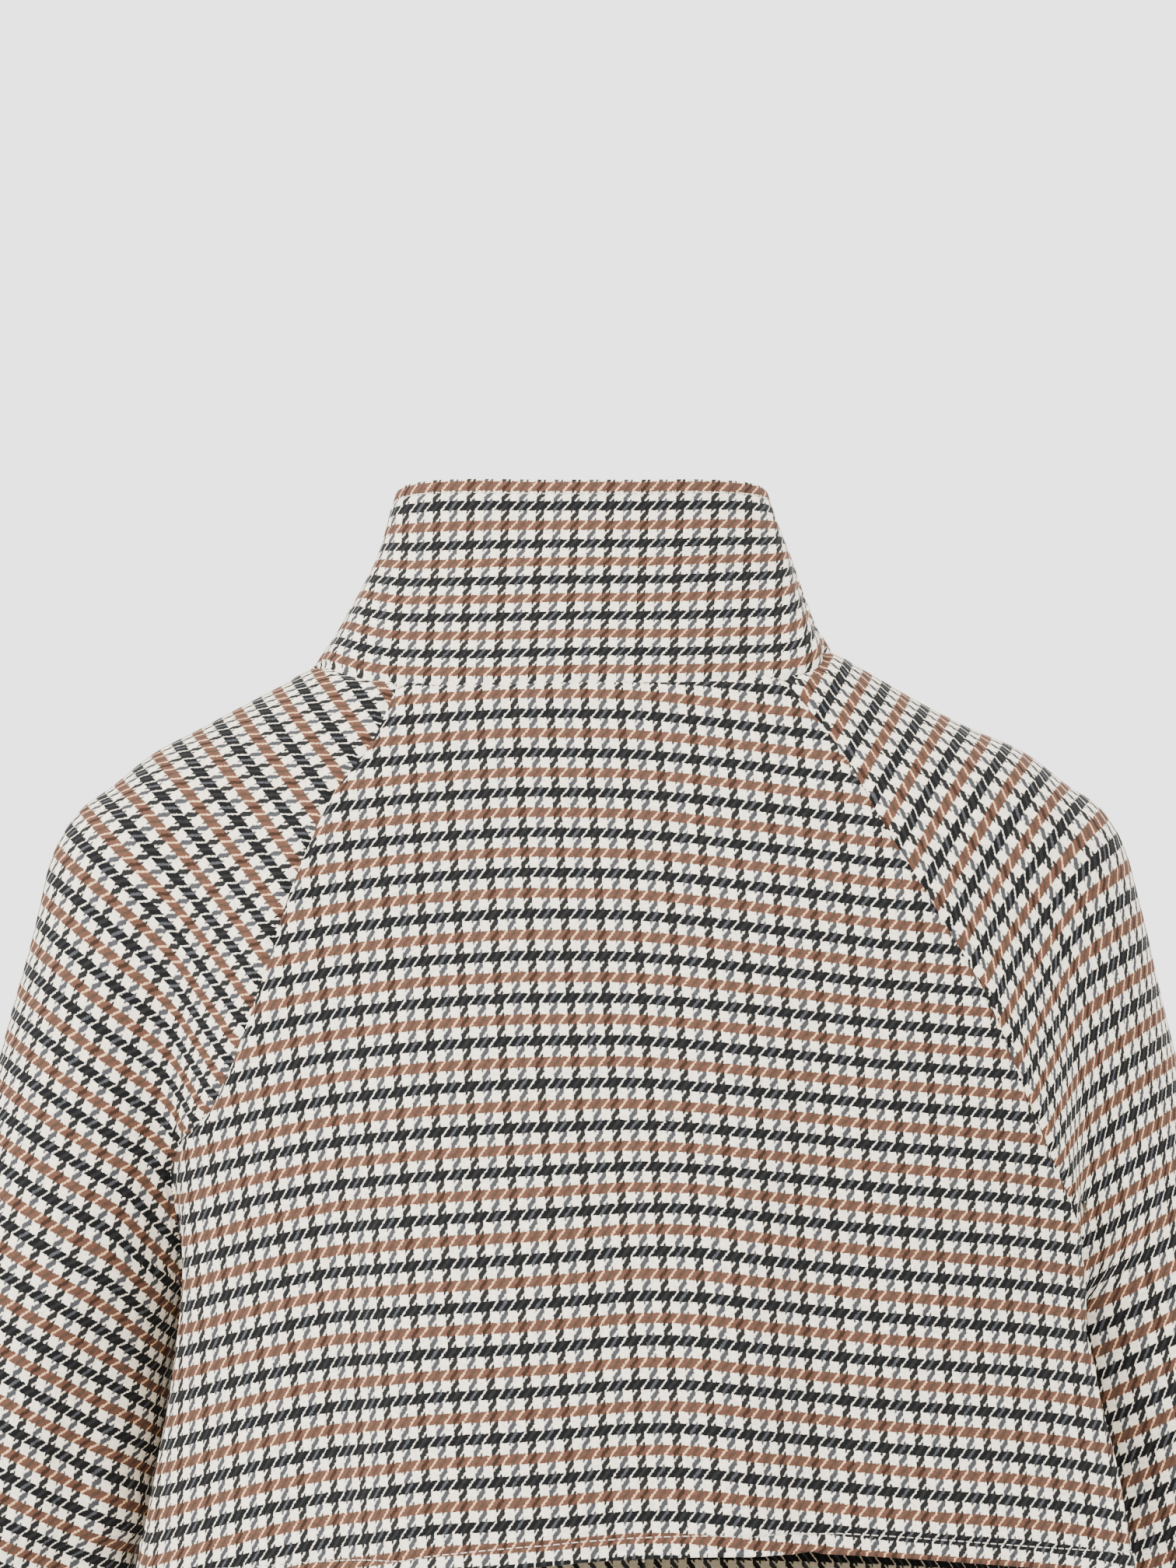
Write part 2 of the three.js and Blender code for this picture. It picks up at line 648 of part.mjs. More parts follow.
function collarGeometry() {
  const rows = [];
  const end = (COLLAR_END / COLLAR_RADIUS) * (180 / Math.PI);
  for (let i = 0; i <= COLLAR_ROWS; i++) {
    const share = i / COLLAR_ROWS;
    const points = [];
    for (let j = 0; j <= COLLAR_COLUMNS; j++) {
      const angle = lerp(-90 + end, 270 - end, j / COLLAR_COLUMNS);
      points.push({ point: collarPoint(angle, share), angle, share });
    }
    rows.push(points);
  }
  const outer = [];
  const inner = [];
  rows.forEach((row, i) => {
    outer.push([]);
    inner.push([]);
    row.forEach(({ point, angle, share }) => {
      const wall = i === 0 ? neckWall(angle) : collarNormal(angle, share);
      const moved = point.clone();
      const up = collarPoint(angle, 1 / COLLAR_ROWS).sub(point);
      if (i === 0) moved.addScaledVector(up.normalize(), COLLAR_SEAM);
      outer[i].push(moved);
      inner[i].push(moved.clone().addScaledVector(wall, -WALL));
    });
  });
  const vertices = [];
  const quad = (a, b, c, d) => {
    for (const p of [a, b, c, a, c, d]) vertices.push(p.x, p.y, p.z);
  };
  const last = COLLAR_ROWS;
  const columns = COLLAR_COLUMNS;
  for (let i = 0; i < last; i++) {
    for (let j = 0; j < columns; j++) {
      quad(outer[i][j], outer[i][j + 1], outer[i + 1][j + 1], outer[i + 1][j]);
      quad(inner[i][j], inner[i + 1][j], inner[i + 1][j + 1], inner[i][j + 1]);
    }
    quad(outer[i + 1][0], inner[i + 1][0], inner[i][0], outer[i][0]);
    quad(outer[i][columns], inner[i][columns], inner[i + 1][columns], outer[i + 1][columns]);
  }
  for (let j = 0; j < columns; j++) {
    quad(outer[0][j + 1], outer[0][j], inner[0][j], inner[0][j + 1]);
    quad(outer[last][j], outer[last][j + 1], inner[last][j + 1], inner[last][j]);
  }
  const geometry = new THREE.BufferGeometry();
  geometry.setAttribute("position", new THREE.Float32BufferAttribute(vertices, 3));
  geometry.computeVertexNormals();
  return geometry;
}

function buttonGeometry() {
  const { radius, thick, sides } = BUTTON;
  const profile = [
    [0, 0],
    [radius - 0.8, 0],
    [radius, 0.8],
    [radius, thick - 0.9],
    [radius - 1, thick],
    [radius - 2.4, thick - 0.2],
    [radius - 3.4, thick - 1.1],
    [0, thick - 1.1],
  ].map(([r, h]) => new THREE.Vector2(r, h));
  return new THREE.LatheGeometry(profile, sides);
}

const wool = new THREE.MeshStandardMaterial({ color: 0x8d7460, roughness: 0.92, metalness: 0 });
const horn = new THREE.MeshStandardMaterial({ color: 0x2a2320, roughness: 0.35, metalness: 0 });

const jacket = new THREE.Group();
function add(name, geometry, material) {
  const mesh = new THREE.Mesh(geometry, material);
  mesh.name = name;
  jacket.add(mesh);
  return mesh;
}

// The left front lies under the right one where they overlap
const sinkUnder = (p) =>
  p.z < 0 && p.y < 0 ? (WALL + LAYER_GAP) * (1 - smooth(p.x, OVERLAP + 4, OVERLAP + 22)) : 0;

add("back", wallGeometry(backRows()), wool);
add("front_left", wallGeometry(frontRows(1), { sink: sinkUnder }), wool);
add("front_right", wallGeometry(frontRows(-1)), wool);
add("sleeve_left", wallGeometry(sleeveRows(1), { ring: SEAM_ROWS, flip: true }), wool);
add("sleeve_right", wallGeometry(sleeveRows(-1), { ring: SEAM_ROWS }), wool);
add("collar", collarGeometry(), wool);

for (let i = 0; i < BUTTON.count; i++) {
  const p = frontPoint(torsoField, 0, BUTTON.top - i * BUTTON.step);
  const n = normalAt(torsoField, p);
  const button = add(`button_${i + 1}`, buttonGeometry(), horn);
  button.position.copy(p).addScaledVector(n, BUTTON.seat);
  button.quaternion.setFromUnitVectors(vec(0, 1, 0), n);
}

export default jacket;
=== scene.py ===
"""The looks of the cropped jacket: fine cloth shells on its panels, woven houndstooth, stitching,
buttons, a studio camera, light and floor. The form is worked out in millimetres, as in the part,
and turned into metres where a mesh is made."""

import math

import bpy  # noqa: E402
import numpy as np  # noqa: E402
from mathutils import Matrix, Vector  # noqa: E402


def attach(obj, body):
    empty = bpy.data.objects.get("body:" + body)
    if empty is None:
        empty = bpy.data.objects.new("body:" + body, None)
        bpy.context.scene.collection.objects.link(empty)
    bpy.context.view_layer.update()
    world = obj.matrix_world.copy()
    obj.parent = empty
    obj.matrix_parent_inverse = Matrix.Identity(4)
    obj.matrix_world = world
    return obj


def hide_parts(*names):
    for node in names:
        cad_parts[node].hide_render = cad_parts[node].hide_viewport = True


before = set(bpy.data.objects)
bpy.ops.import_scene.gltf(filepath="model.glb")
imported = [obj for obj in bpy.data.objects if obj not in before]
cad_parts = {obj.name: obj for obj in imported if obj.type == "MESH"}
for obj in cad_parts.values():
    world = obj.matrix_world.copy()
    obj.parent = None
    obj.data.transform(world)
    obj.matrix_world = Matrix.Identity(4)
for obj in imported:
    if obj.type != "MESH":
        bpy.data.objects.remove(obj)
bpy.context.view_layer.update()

MM = 0.001

# Sizes shared with the part
WALL = 2.4
LAYER_GAP = 0.6
OVERLAP = 25
HEM_BACK = -367
HEM_APEX_X = -54
HEM_FRONT_DROP = 46
UNDERARM_Y = -20
CUFF_Z = -600
SQUARENESS = 2.3
BLADE_FOLD = (-14, 66)
FLATTEN = 1.55
CREST_ABOVE_UNDERARM = 30
LONGEST_RAY = 1.35
SEAM_LEVEL = -300
CAD_SEAM_ROWS = 15

BODY_COLUMNS = ("z", "back", "front", "left", "right", "side_left", "side_right")
BODY = [
    (30, 38, -22, 74, 74, 74, 74),
    (14, 46, -38, 104, 104, 104, 104),
    (6, 51, -45, 120, 120, 120, 120),
    (-8, 59, -53, 147, 144, 147, 144),
    (-21, 66, -62, 171, 169, 171, 169),
    (-35, 73, -70, 193, 197, 193, 197),
    (-49, 80, -78, 211, 214, 210, 212),
    (-62, 86, -86, 212, 217, 207, 208),
    (-84, 97, -98, 205, 218, 198, 198),
    (-110, 107, -108, 195, 219, 189, 189),
    (-144, 118, -118, 190, 223, 182, 182),
    (-176, 126, -124, 188, 227, 177, 177),
    (-208, 132, -127, 186, 229, 174, 174),
    (-256, 139, -129, 183, 231, 172.5, 177.5),
    (-286, 142, -129, 184, 234, 177, 182),
    (-310, 144, -129, 186, 238, 181, 184),
    (-340, 146, -130, 191, 245, 187, 193),
    (-372, 148, -131, 196, 250, 194, 202),
    (-420, 150, -132, 205, 257, 204, 212),
]
ARM_COLUMNS = ("z", "x", "y", "across", "deep")
ARM = [
    (-92, 181.2, -5, 54, 56),
    (-144, 197.4, -16, 54, 62),
    (-256, 228.2, -30, 53, 62),
    (-300, 242, -37, 52, 60),
    (-372, 255, -46, 51.5, 58),
    (-450, 270, -55, 48, 54),
    (-600, 302, -69, 43, 47),
]
BACK_FOLD = {"left": 94, "right": -81, "width": 34, "rise": 22, "rest": 9, "from": -75, "to": -330}
MIDDLE_FOLD = {"x": 5, "width": 30, "rise": 5}
NECK_CENTRE = (7, 0)
NECK = [
    (-90, -46),
    (-50, -27),
    (0, 6.6),
    (31.5, -0.5),
    (90, 0),
    (155, 2.2),
    (180, 13.5),
    (230, -27),
    (270, -46),
]
COLLAR_TOP = {"x": 3, "y": -45, "across": 79, "deep": 57}
COLLAR_RIM = [(-90, 47), (0, 82), (90, 88), (180, 82), (270, 47)]
COLLAR_HOLLOW = 2
COLLAR_END = 1.2
SEAM_COLUMNS = ("share", "x", "y", "z")
BACK_SEAM_LEFT = [
    (0.1, 94, 62, -27),
    (0.18, 109, 70, -48),
    (0.32, 126, 80, -88),
    (0.47, 142, 84, -133),
    (0.61, 160, 76, -176),
    (0.75, 177, 48, -208),
    (0.88, 177, 20, -238),
    (1, 172.5, UNDERARM_Y, -256),
]
BACK_SEAM_RIGHT = [
    (0.1, -107, 60, -24),
    (0.2, -126, 74, -58),
    (0.33, -151, 84, -97),
    (0.45, -174, 84, -135),
    (0.6, -195, 80, -184),
    (0.72, -213, 64, -226),
    (0.81, -220, 42, -248),
    (0.9, -206, 14, -266),
    (1, -182, UNDERARM_Y, -284),
]
FRONT_SEAM_LEFT = [
    (0.2, 84, -80, -62),
    (0.4, 112, -92, -105),
    (0.6, 138, -90, -150),
    (0.75, 157, -80, -190),
    (0.89, 170, -58, -230),
    (1, 172.5, UNDERARM_Y, -256),
]
FRONT_SEAM_RIGHT = [
    (0.2, -86, -82, -66),
    (0.4, -116, -94, -114),
    (0.6, -143, -92, -165),
    (0.75, -163, -80, -207),
    (0.89, -177, -55, -252),
    (1, -182, UNDERARM_Y, -284),
]
SEAM_NECK = {"back_left": 31.5, "back_right": 155, "front_left": -50, "front_right": 230}
CREASE = {
    "back_left": (0.66, 0.8),
    "back_right": (0.76, 0.9),
    "front_left": (0.66, 0.8),
    "front_right": (0.66, 0.8),
}
SHOULDER_LINE = [
    (0, 119, 0, 6),
    (0.2, 156, 0, -13),
    (0.4, 208, 0, -44),
    (0.5, 229, -4, -65),
    (0.62, 240, -8, -97),
    (0.8, 257, -18, -158),
]
BUTTON = {"count": 5, "radius": 10, "thick": 3.4, "top": -72, "step": 78, "seat": 0.5}

# Mesh counts, closer together at seams and hems
SEAM_ROWS = 110
SIDE_ROWS = 54
ARM_ROWS = 120
BACK_COLUMNS = 176
FRONT_COLUMNS = 72
SLEEVE_COLUMNS = 120
COLLAR_COLUMNS = 240
COLLAR_ROWS = 44
RIM_STEPS = 3


def mix(a, b, t):
    return a + (b - a) * t


def smooth(value, start, end):
    t = np.clip((np.asarray(value, float) - start) / (end - start), 0, 1)
    return t * t * (3 - 2 * t)


def unit(v):
    return v / np.maximum(np.linalg.norm(v, axis=-1, keepdims=True), 1e-9)


def dot(a, b):
    return (a * b).sum(-1)


def curve(rows, column):
    """Reads a column of a table on a smooth curve through its rows, by its first column."""
    at = np.array([r[0] for r in rows], float)
    values = np.array([r[column] for r in rows], float)
    if at[-1] < at[0]:
        at = at[::-1]
        values = values[::-1]
    low = np.maximum(np.arange(len(at)) - 1, 0)
    high = np.minimum(np.arange(len(at)) + 1, len(at) - 1)
    slope = (values[high] - values[low]) / (at[high] - at[low])

    def read(where):
        w = np.asarray(where, float)
        i = np.clip(np.searchsorted(at, w, side="right") - 1, 0, len(at) - 2)
        span = at[i + 1] - at[i]
        t = np.clip((w - at[i]) / span, 0, 1)
        t2 = t * t
        t3 = t2 * t
        return (
            (2 * t3 - 3 * t2 + 1) * values[i]
            + (t3 - 2 * t2 + t) * span * slope[i]
            + (3 * t2 - 2 * t3) * values[i + 1]
            + (t3 - t2) * span * slope[i + 1]
        )

    return read


body = {name: curve(BODY, i) for i, name in enumerate(BODY_COLUMNS) if i}
arm = {name: curve(ARM, i) for i, name in enumerate(ARM_COLUMNS) if i}
neck_height = curve(NECK, 1)
rim_height = curve(COLLAR_RIM, 1)


def back_fold(x, z):
    half = BACK_FOLD["width"] / 2
    middle = smooth(x, BACK_FOLD["right"] - half, BACK_FOLD["right"] + half) * (
        1 - smooth(x, BACK_FOLD["left"] - half, BACK_FOLD["left"] + half)
    )
    bend_half = MIDDLE_FOLD["width"] / 2
    bend = smooth(x, MIDDLE_FOLD["x"] - bend_half, MIDDLE_FOLD["x"] + bend_half)
    rise = 1 - smooth(z, BACK_FOLD["to"], BACK_FOLD["from"])
    return rise * (middle * (BACK_FOLD["rise"] + MIDDLE_FOLD["rise"] * bend) - BACK_FOLD["rest"])


def torso_field(p):
    x, y, z = p[..., 0], p[..., 1], p[..., 2]
    folded = y - back_fold(x, z) * smooth(y, 25, 85)
    wide = smooth(y, *BLADE_FOLD)
    left = mix(body["side_left"](z), body["left"](z), wide)
    right = mix(body["side_right"](z), body["right"](z), wide)
    across = np.where(x > 0, left, right)
    deep = np.where(folded > 0, body["back"](z), -body["front"](z))
    reach = ((np.abs(x) / across) ** SQUARENESS + (np.abs(folded) / deep) ** SQUARENESS) ** (
        1 / SQUARENESS
    )
    return (reach - 1) * deep


def arm_field(p, side):
    top = ARM[0][0]
    z = np.minimum(p[..., 2], top)
    lean = math.cos(math.atan(0.29))
    across = arm["across"](z)
    nx = (side * p[..., 0] - arm["x"](z)) * lean / across
    ny = (p[..., 1] - arm["y"](z)) / arm["deep"](z)
    nz = np.maximum(p[..., 2] - top, 0) / across
    return (np.sqrt(nx * nx + ny * ny + nz * nz) - 1) * across


def left_arm(p):
    return arm_field(p, 1)


def right_arm(p):
    return arm_field(p, -1)


def nearer_arm(p):
    return arm_field(p, np.where(p[..., 0] > 0, 1, -1))


def garment_field(p):
    torso = torso_field(p)
    sleeve = nearer_arm(p)
    fillet = mix(12, 22, smooth(p[..., 2], -105, -62))
    near = np.maximum(fillet - np.abs(torso - sleeve), 0) / fillet
    return np.minimum(torso, sleeve) - near * near * fillet / 4


def normal_at(field, p):
    step = 0.4
    parts = []
    for axis in np.eye(3) * step:
        parts.append(field(p + axis) - field(p - axis))
    return unit(np.stack(parts, -1))


def cast_out(field, start, direction):
    """Where rays from inside first leave the field's shape."""
    start, direction = np.broadcast_arrays(np.asarray(start, float), np.asarray(direction, float))
    shape = start.shape
    origin = start.reshape(-1, 3)
    d = unit(direction.reshape(-1, 3))
    stride = 3.0
    near = np.zeros(len(origin))
    far = np.full(len(origin), stride)
    active = np.arange(len(origin))
    while len(active) and far[active].max() < 400:
        inside = field(origin[active] + d[active] * far[active, None]) < 0
        active = active[inside]
        near[active] = far[active]
        far[active] += stride
    for _ in range(16):
        middle = (near + far) / 2
        inside = field(origin + d * middle[:, None]) < 0
        near = np.where(inside, middle, near)
        far = np.where(inside, far, middle)
    return (origin + d * far[:, None]).reshape(shape)


def settle(field, p, passes=12):
    q = np.array(p, float)
    step = 0.4
    for _ in range(passes):
        n = normal_at(field, q)
        here = field(q)
        slope = (field(q + n * step) - here) / step
        q = q - n * (here / np.maximum(slope, 0.2))[..., None]
    return q


def neck_point(angle):
    a = np.asarray(angle, float)
    t = np.radians(a)
    x = np.full_like(a, NECK_CENTRE[0])
    y = np.full_like(a, NECK_CENTRE[1])
    start = np.stack([x, y, neck_height(a)], -1)
    return cast_out(garment_field, start, np.stack([np.cos(t), np.sin(t), 0 * t], -1))


def neck_angle(p):
    angle = np.degrees(np.arctan2(p[..., 1] - NECK_CENTRE[1], p[..., 0] - NECK_CENTRE[0]))
    return np.where(angle < -90, angle + 360, angle)


def collar_point(angle, share):
    a, s = np.broadcast_arrays(np.asarray(angle, float), np.asarray(share, float))
    t = np.radians(a)
    rim = np.stack(
        [
            COLLAR_TOP["x"] + COLLAR_TOP["across"] * np.cos(t),
            COLLAR_TOP["y"] + COLLAR_TOP["deep"] * np.sin(t),
            rim_height(a),
        ],
        -1,
    )
    hollow = 4 * s * (1 - s) * COLLAR_HOLLOW
    out = np.stack([np.cos(t), np.sin(t), 0 * t], -1)
    return mix(neck_point(a), rim, s[..., None]) - out * hollow[..., None]


def collar_normal(angle, share):
    low = np.maximum(share - 0.05, 0)
    high = np.minimum(share + 0.05, 1)
    around = collar_point(angle + 1, share) - collar_point(angle - 1, share)
    up = collar_point(angle, high) - collar_point(angle, low)
    return unit(np.cross(around, up))


def neck_wall(angle):
    panel = normal_at(garment_field, neck_point(angle))
    middle = unit(panel + collar_normal(angle, np.zeros_like(angle)))
    return middle / np.maximum(dot(middle, panel), 0.6)[..., None]


def crease_point(p):
    """Moves points near an armpit to the bottom of the crease."""

    def difference(q):
        return torso_field(q) - nearer_arm(q)

    q = p
    for _ in range(8):
        q = settle(garment_field, settle(difference, q, 1))
    return q


def seam_curve(name, rows, shares):
    start = neck_point(np.array([SEAM_NECK[name]], float))[0]
    full = [(0, *start)] + list(rows)
    seed = np.stack([curve(full, i)(shares) for i in (1, 2, 3)], -1)
    free = settle(garment_field, seed)
    crease = smooth(shares, *CREASE[name])
    inside = crease > 0
    low = mix(free[inside], crease_point(free[inside]), crease[inside, None])
    free[inside] = settle(garment_field, low)
    end = settle(torso_field, seed[-1:])[0]
    near_end = smooth(shares, 1 - 0.5 / CAD_SEAM_ROWS, 1)[:, None]
    free = mix(free, settle(torso_field, free), near_end)
    free[0] = start
    free[-1] = end
    return free


def hem_height(x, y):
    u = (x - HEM_APEX_X) / 104
    arch = 7.3 * u * u / (1 + 0.12 * u * u)
    back_share = smooth(y, -60, 60)
    return HEM_BACK - arch * back_share - HEM_FRONT_DROP * (1 - back_share)


# Shares down a seam, down a side and across a row, closer together where stitching needs it
steps = np.linspace(0, 1, SEAM_ROWS + 1)
SEAM_SHARES = steps - 0.6 * np.sin(np.pi * steps) / np.pi
steps = np.linspace(0, 1, SIDE_ROWS + 1)
SIDE_SHARES = steps + 0.7 * np.sin(np.pi * steps) / np.pi
steps = np.linspace(0, 1, ARM_ROWS + 1)
ARM_SHARES = steps + 0.7 * np.sin(np.pi * steps) / np.pi


def column_shares(count, start_dense=True, end_dense=True):
    s = np.linspace(0, 1, count + 1)
    if start_dense and end_dense:
        return s - 0.65 * np.sin(2 * np.pi * s) / (2 * np.pi)
    if start_dense:
        return s - 0.65 * np.sin(np.pi * s) / np.pi
    return s + 0.65 * np.sin(np.pi * s) / np.pi


SEAM_TABLES = {
    "back_left": BACK_SEAM_LEFT,
    "back_right": BACK_SEAM_RIGHT,
    "front_left": FRONT_SEAM_LEFT,
    "front_right": FRONT_SEAM_RIGHT,
}
seams = {name: seam_curve(name, rows, SEAM_SHARES) for name, rows in SEAM_TABLES.items()}
for side_name in ("left", "right"):
    seams["front_" + side_name][-1] = seams["back_" + side_name][-1]


def side_seam(side, shares):
    under = seams["back_left" if side > 0 else "back_right"][-1]
    hem = hem_height(side * 195.0, UNDERARM_Y / 2)
    z = mix(under[2], hem, shares)
    y = mix(under[1], UNDERARM_Y / 2, shares)
    inner = np.stack([0 * z, y, z], -1)
    points = cast_out(torso_field, inner, np.array([side, 0, 0], float))
    points[0] = under
    return points


def plan_angle(p):
    return np.arctan2(p[..., 1] * FLATTEN, p[..., 0])


def plan_ray(angle):
    return np.stack([np.cos(angle), np.sin(angle) / FLATTEN, 0 * angle], -1)


def upright(z):
    return np.stack([0 * z, 0 * z, z], -1)


def near_underarm(shares):
    """How far a seam row has gone over from the whole garment to its own torso or arm."""
    return smooth(shares, 1 - 1 / CAD_SEAM_ROWS, 1)


def body_grid(starts, ends, side_starts, side_ends, across, level):
    """Rows of points between two seams, then between the two side edges down to the hem."""
    first = plan_angle(starts)
    last = plan_angle(ends)
    last = np.where(last < first, last + 2 * np.pi, last)
    angles = mix(first[:, None], last[:, None], across[None, :])
    heights = mix(starts[:, 2:3], ends[:, 2:3], across[None, :])
    neck_row = cast_out(garment_field, upright(heights[0]), plan_ray(angles[0]))
    for _ in range(4):
        neck_z = neck_height(neck_angle(neck_row))
        neck_row = cast_out(garment_field, upright(neck_z), plan_ray(angles[0]))
    fade = np.maximum(0, 1 - CAD_SEAM_ROWS * SEAM_SHARES)
    heights = heights + fade[:, None] * (neck_row[:, 2] - heights[0])[None, :]
    if level:
        middle = smooth(across, 0, 0.3) * (1 - smooth(across, 0.7, 1))
        sunk = smooth(SEAM_SHARES, 0, 1 / CAD_SEAM_ROWS)[:, None] * middle[None, :]
        heights = mix(heights, (SEAM_SHARES * SEAM_LEVEL)[:, None], sunk)
    rays = plan_ray(angles)
    whole = cast_out(garment_field, upright(heights), rays)
    own = cast_out(torso_field, upright(heights), rays)
    upper = mix(whole, own, near_underarm(SEAM_SHARES)[:, None, None])
    upper[:, 0] = starts
    upper[:, -1] = ends
    first = plan_angle(side_starts)
    last = plan_angle(side_ends)
    last = np.where(last < first, last + 2 * np.pi, last)
    angles = mix(first[:, None], last[:, None], across[None, :])
    above = upper[-1, :, 2]
    heights = np.repeat(above[None, :], len(angles), 0)
    rays = plan_ray(angles)
    share = SIDE_SHARES[:, None]
    for _ in range(4):
        lower = cast_out(torso_field, upright(heights), rays)
        heights = mix(above[None, :], hem_height(lower[..., 0], lower[..., 1]), share)
    lower = cast_out(torso_field, upright(heights), rays)
    lower[:, 0] = side_starts
    lower[:, -1] = side_ends
    return np.concatenate([upper, lower[1:]])


def front_edge(field, x, z):
    start = np.stack([np.full_like(z, x), 0 * z, z], -1)
    return cast_out(field, start, np.array([0, -1, 0], float))


def back_grid():
    return body_grid(
        seams["back_left"],
        seams["back_right"],
        side_seam(1, SIDE_SHARES),
        side_seam(-1, SIDE_SHARES),
        column_shares(BACK_COLUMNS),
        True,
    )


def front_grid(side):
    edge_x = -side * OVERLAP
    seam = seams["front_left" if side > 0 else "front_right"]
    neck_edge = front_edge(garment_field, edge_x, np.array([neck_height(-90 if side > 0 else 270)]))
    z = mix(neck_edge[0, 2], SEAM_LEVEL, SEAM_SHARES)
    upper = front_edge(garment_field, edge_x, z)
    hem_z = hem_height(edge_x, -130.0)
    lower = front_edge(torso_field, edge_x, mix(SEAM_LEVEL, hem_z, SIDE_SHARES))
    edge_side = side_seam(side, SIDE_SHARES)
    across = column_shares(FRONT_COLUMNS)
    if side > 0:
        return body_grid(upper, seam, lower, edge_side, across, False)
    return body_grid(seam, upper, edge_side, lower, across, False)


def relax(points, passes, keep_rows=2, keep_columns=2):
    """Evens out a grid a little, away from its edges."""
    p = points.copy()
    rows = slice(keep_rows, -keep_rows)
    columns = slice(keep_columns, -keep_columns)
    for _ in range(passes):
        around = (
            p[:-2, 1:-1] + p[2:, 1:-1] + p[1:-1, :-2] + p[1:-1, 2:]
        ) / 4
        moved = p.copy()
        moved[1:-1, 1:-1] = mix(p[1:-1, 1:-1], around, 0.5)
        p[rows, columns] = moved[rows, columns]
    return p


def sleeve_grid(side):
    """An open strip over the shoulder, closed to a tube below the underarm."""
    name = "left" if side > 0 else "right"
    back = seams["back_" + name]
    front = seams["front_" + name]
    own_arm = left_arm if side > 0 else right_arm
    under = back[-1]
    crest_z = under[2] + CREST_ABOVE_UNDERARM
    outside = arm["x"](crest_z) + arm["across"](crest_z)
    line = SHOULDER_LINE + [(1, float(outside), float(arm["y"](crest_z)), crest_z)]
    shares = SEAM_SHARES.copy()
    shares[0] = 0.004
    outer = np.stack([side * curve(line, 1)(shares), curve(line, 2)(shares), curve(line, 3)(shares)], -1)
    start = back.copy()
    end = front.copy()
    centre = mix((start + end) / 2, outer, mix(0.14, 0.5, smooth(shares, 0.35, 1))[:, None])
    out = unit(outer - centre)
    backward = unit(np.array([0, 1, 0]) - out * out[:, 1:2])
    normal = np.cross(out, backward)

    def reach(p):
        d = p - centre
        u = dot(d, out)
        v = dot(d, backward)
        return np.arctan2(v, u), dot(d, normal) / np.hypot(u, v)

    angle_a, tilt_a = reach(start)
    angle_b, tilt_b = reach(end)
    angle_a[-1] = np.pi
    angle_b[-1] = -np.pi
    lengths = [np.linalg.norm(q - centre, axis=-1) for q in (start, end, outer)]
    widest = np.maximum(np.maximum(lengths[0], lengths[1]), lengths[2])
    t = column_shares(SLEEVE_COLUMNS)
    angle = mix(angle_a[:, None], angle_b[:, None], t[None, :])
    tilt = np.where(
        t < 0.5, tilt_a[:, None] * (1 - 2 * t), tilt_b[:, None] * (2 * t - 1)
    )
    rays = (
        out[:, None] * np.cos(angle)[..., None]
        + backward[:, None] * np.sin(angle)[..., None]
        + normal[:, None] * tilt[..., None]
    )
    origin = np.repeat(centre[:, None], len(t), 1)
    whole = cast_out(garment_field, origin, rays)
    own = cast_out(own_arm, origin, rays)
    length = np.linalg.norm(whole - origin, axis=-1)
    slipped = smooth(length / widest[:, None], LONGEST_RAY - 0.12, LONGEST_RAY)
    whole = mix(whole, own, slipped[..., None])
    upper = mix(whole, own, near_underarm(shares)[:, None, None])
    upper[:, 0] = start
    upper[:, -1] = end
    first = float(neck_angle(start[0]))
    last = float(neck_angle(end[0]))
    neck_row = neck_point(mix(first, last, t))
    fade = np.maximum(0, 1 - CAD_SEAM_ROWS * SEAM_SHARES)[:, None, None]
    moved = upper + fade * (neck_row - upper[0])[None]
    near_neck = SEAM_SHARES < 1 / CAD_SEAM_ROWS
    moved[near_neck] = settle(garment_field, moved[near_neck], 4)
    upper[near_neck, 1:-1] = moved[near_neck, 1:-1]
    upper[0] = neck_row

    last_centre = under[2] + CREST_ABOVE_UNDERARM / 2
    z = mix(last_centre, CUFF_Z, ARM_SHARES)
    centre = np.stack([side * arm["x"](z), arm["y"](z), z], -1)
    below = np.stack([side * arm["x"](z - 20), arm["y"](z - 20), z - 20], -1)
    axis = unit(below - centre)
    sideways = np.array([side, 0, 0], float)
    out = unit(sideways - axis * (side * axis[:, 0:1]))
    backward = unit(np.array([0, 1, 0]) - axis * axis[:, 1:2])
    angle = np.pi - 2 * np.pi * t
    rays = (
        out[:, None] * np.cos(angle)[None, :, None]
        + backward[:, None] * np.sin(angle)[None, :, None]
    )
    lower = cast_out(own_arm, np.repeat(centre[:, None], len(t), 1), rays)
    # The first rows of the tube go over from the last row of the strip
    ease = smooth(ARM_SHARES, 0, 1 / 12)[:, None, None]
    carried = upper[-1][None] + (lower - lower[0][None])
    lower = mix(carried, lower, ease)
    return np.concatenate([upper, lower[1:]])


def lengths_along(points, axis):
    """Running length along the rows (axis 1) or the columns (axis 0)."""
    piece = np.linalg.norm(np.diff(points, axis=axis), axis=-1)
    zero_shape = list(piece.shape)
    zero_shape[axis] = 1
    return np.concatenate([np.zeros(zero_shape), np.cumsum(piece, axis=axis)], axis)


def grid_normals(points, ring_from=None):
    """Outward directions of a grid, worked out from its own points."""
    down = np.gradient(points, axis=0)
    along = np.gradient(points, axis=1)
    if ring_from is not None:
        seam = points[ring_from:, 1] - points[ring_from:, -2]
        along[ring_from:, 0] = seam
        along[ring_from:, -1] = seam
    return unit(np.cross(down, along))


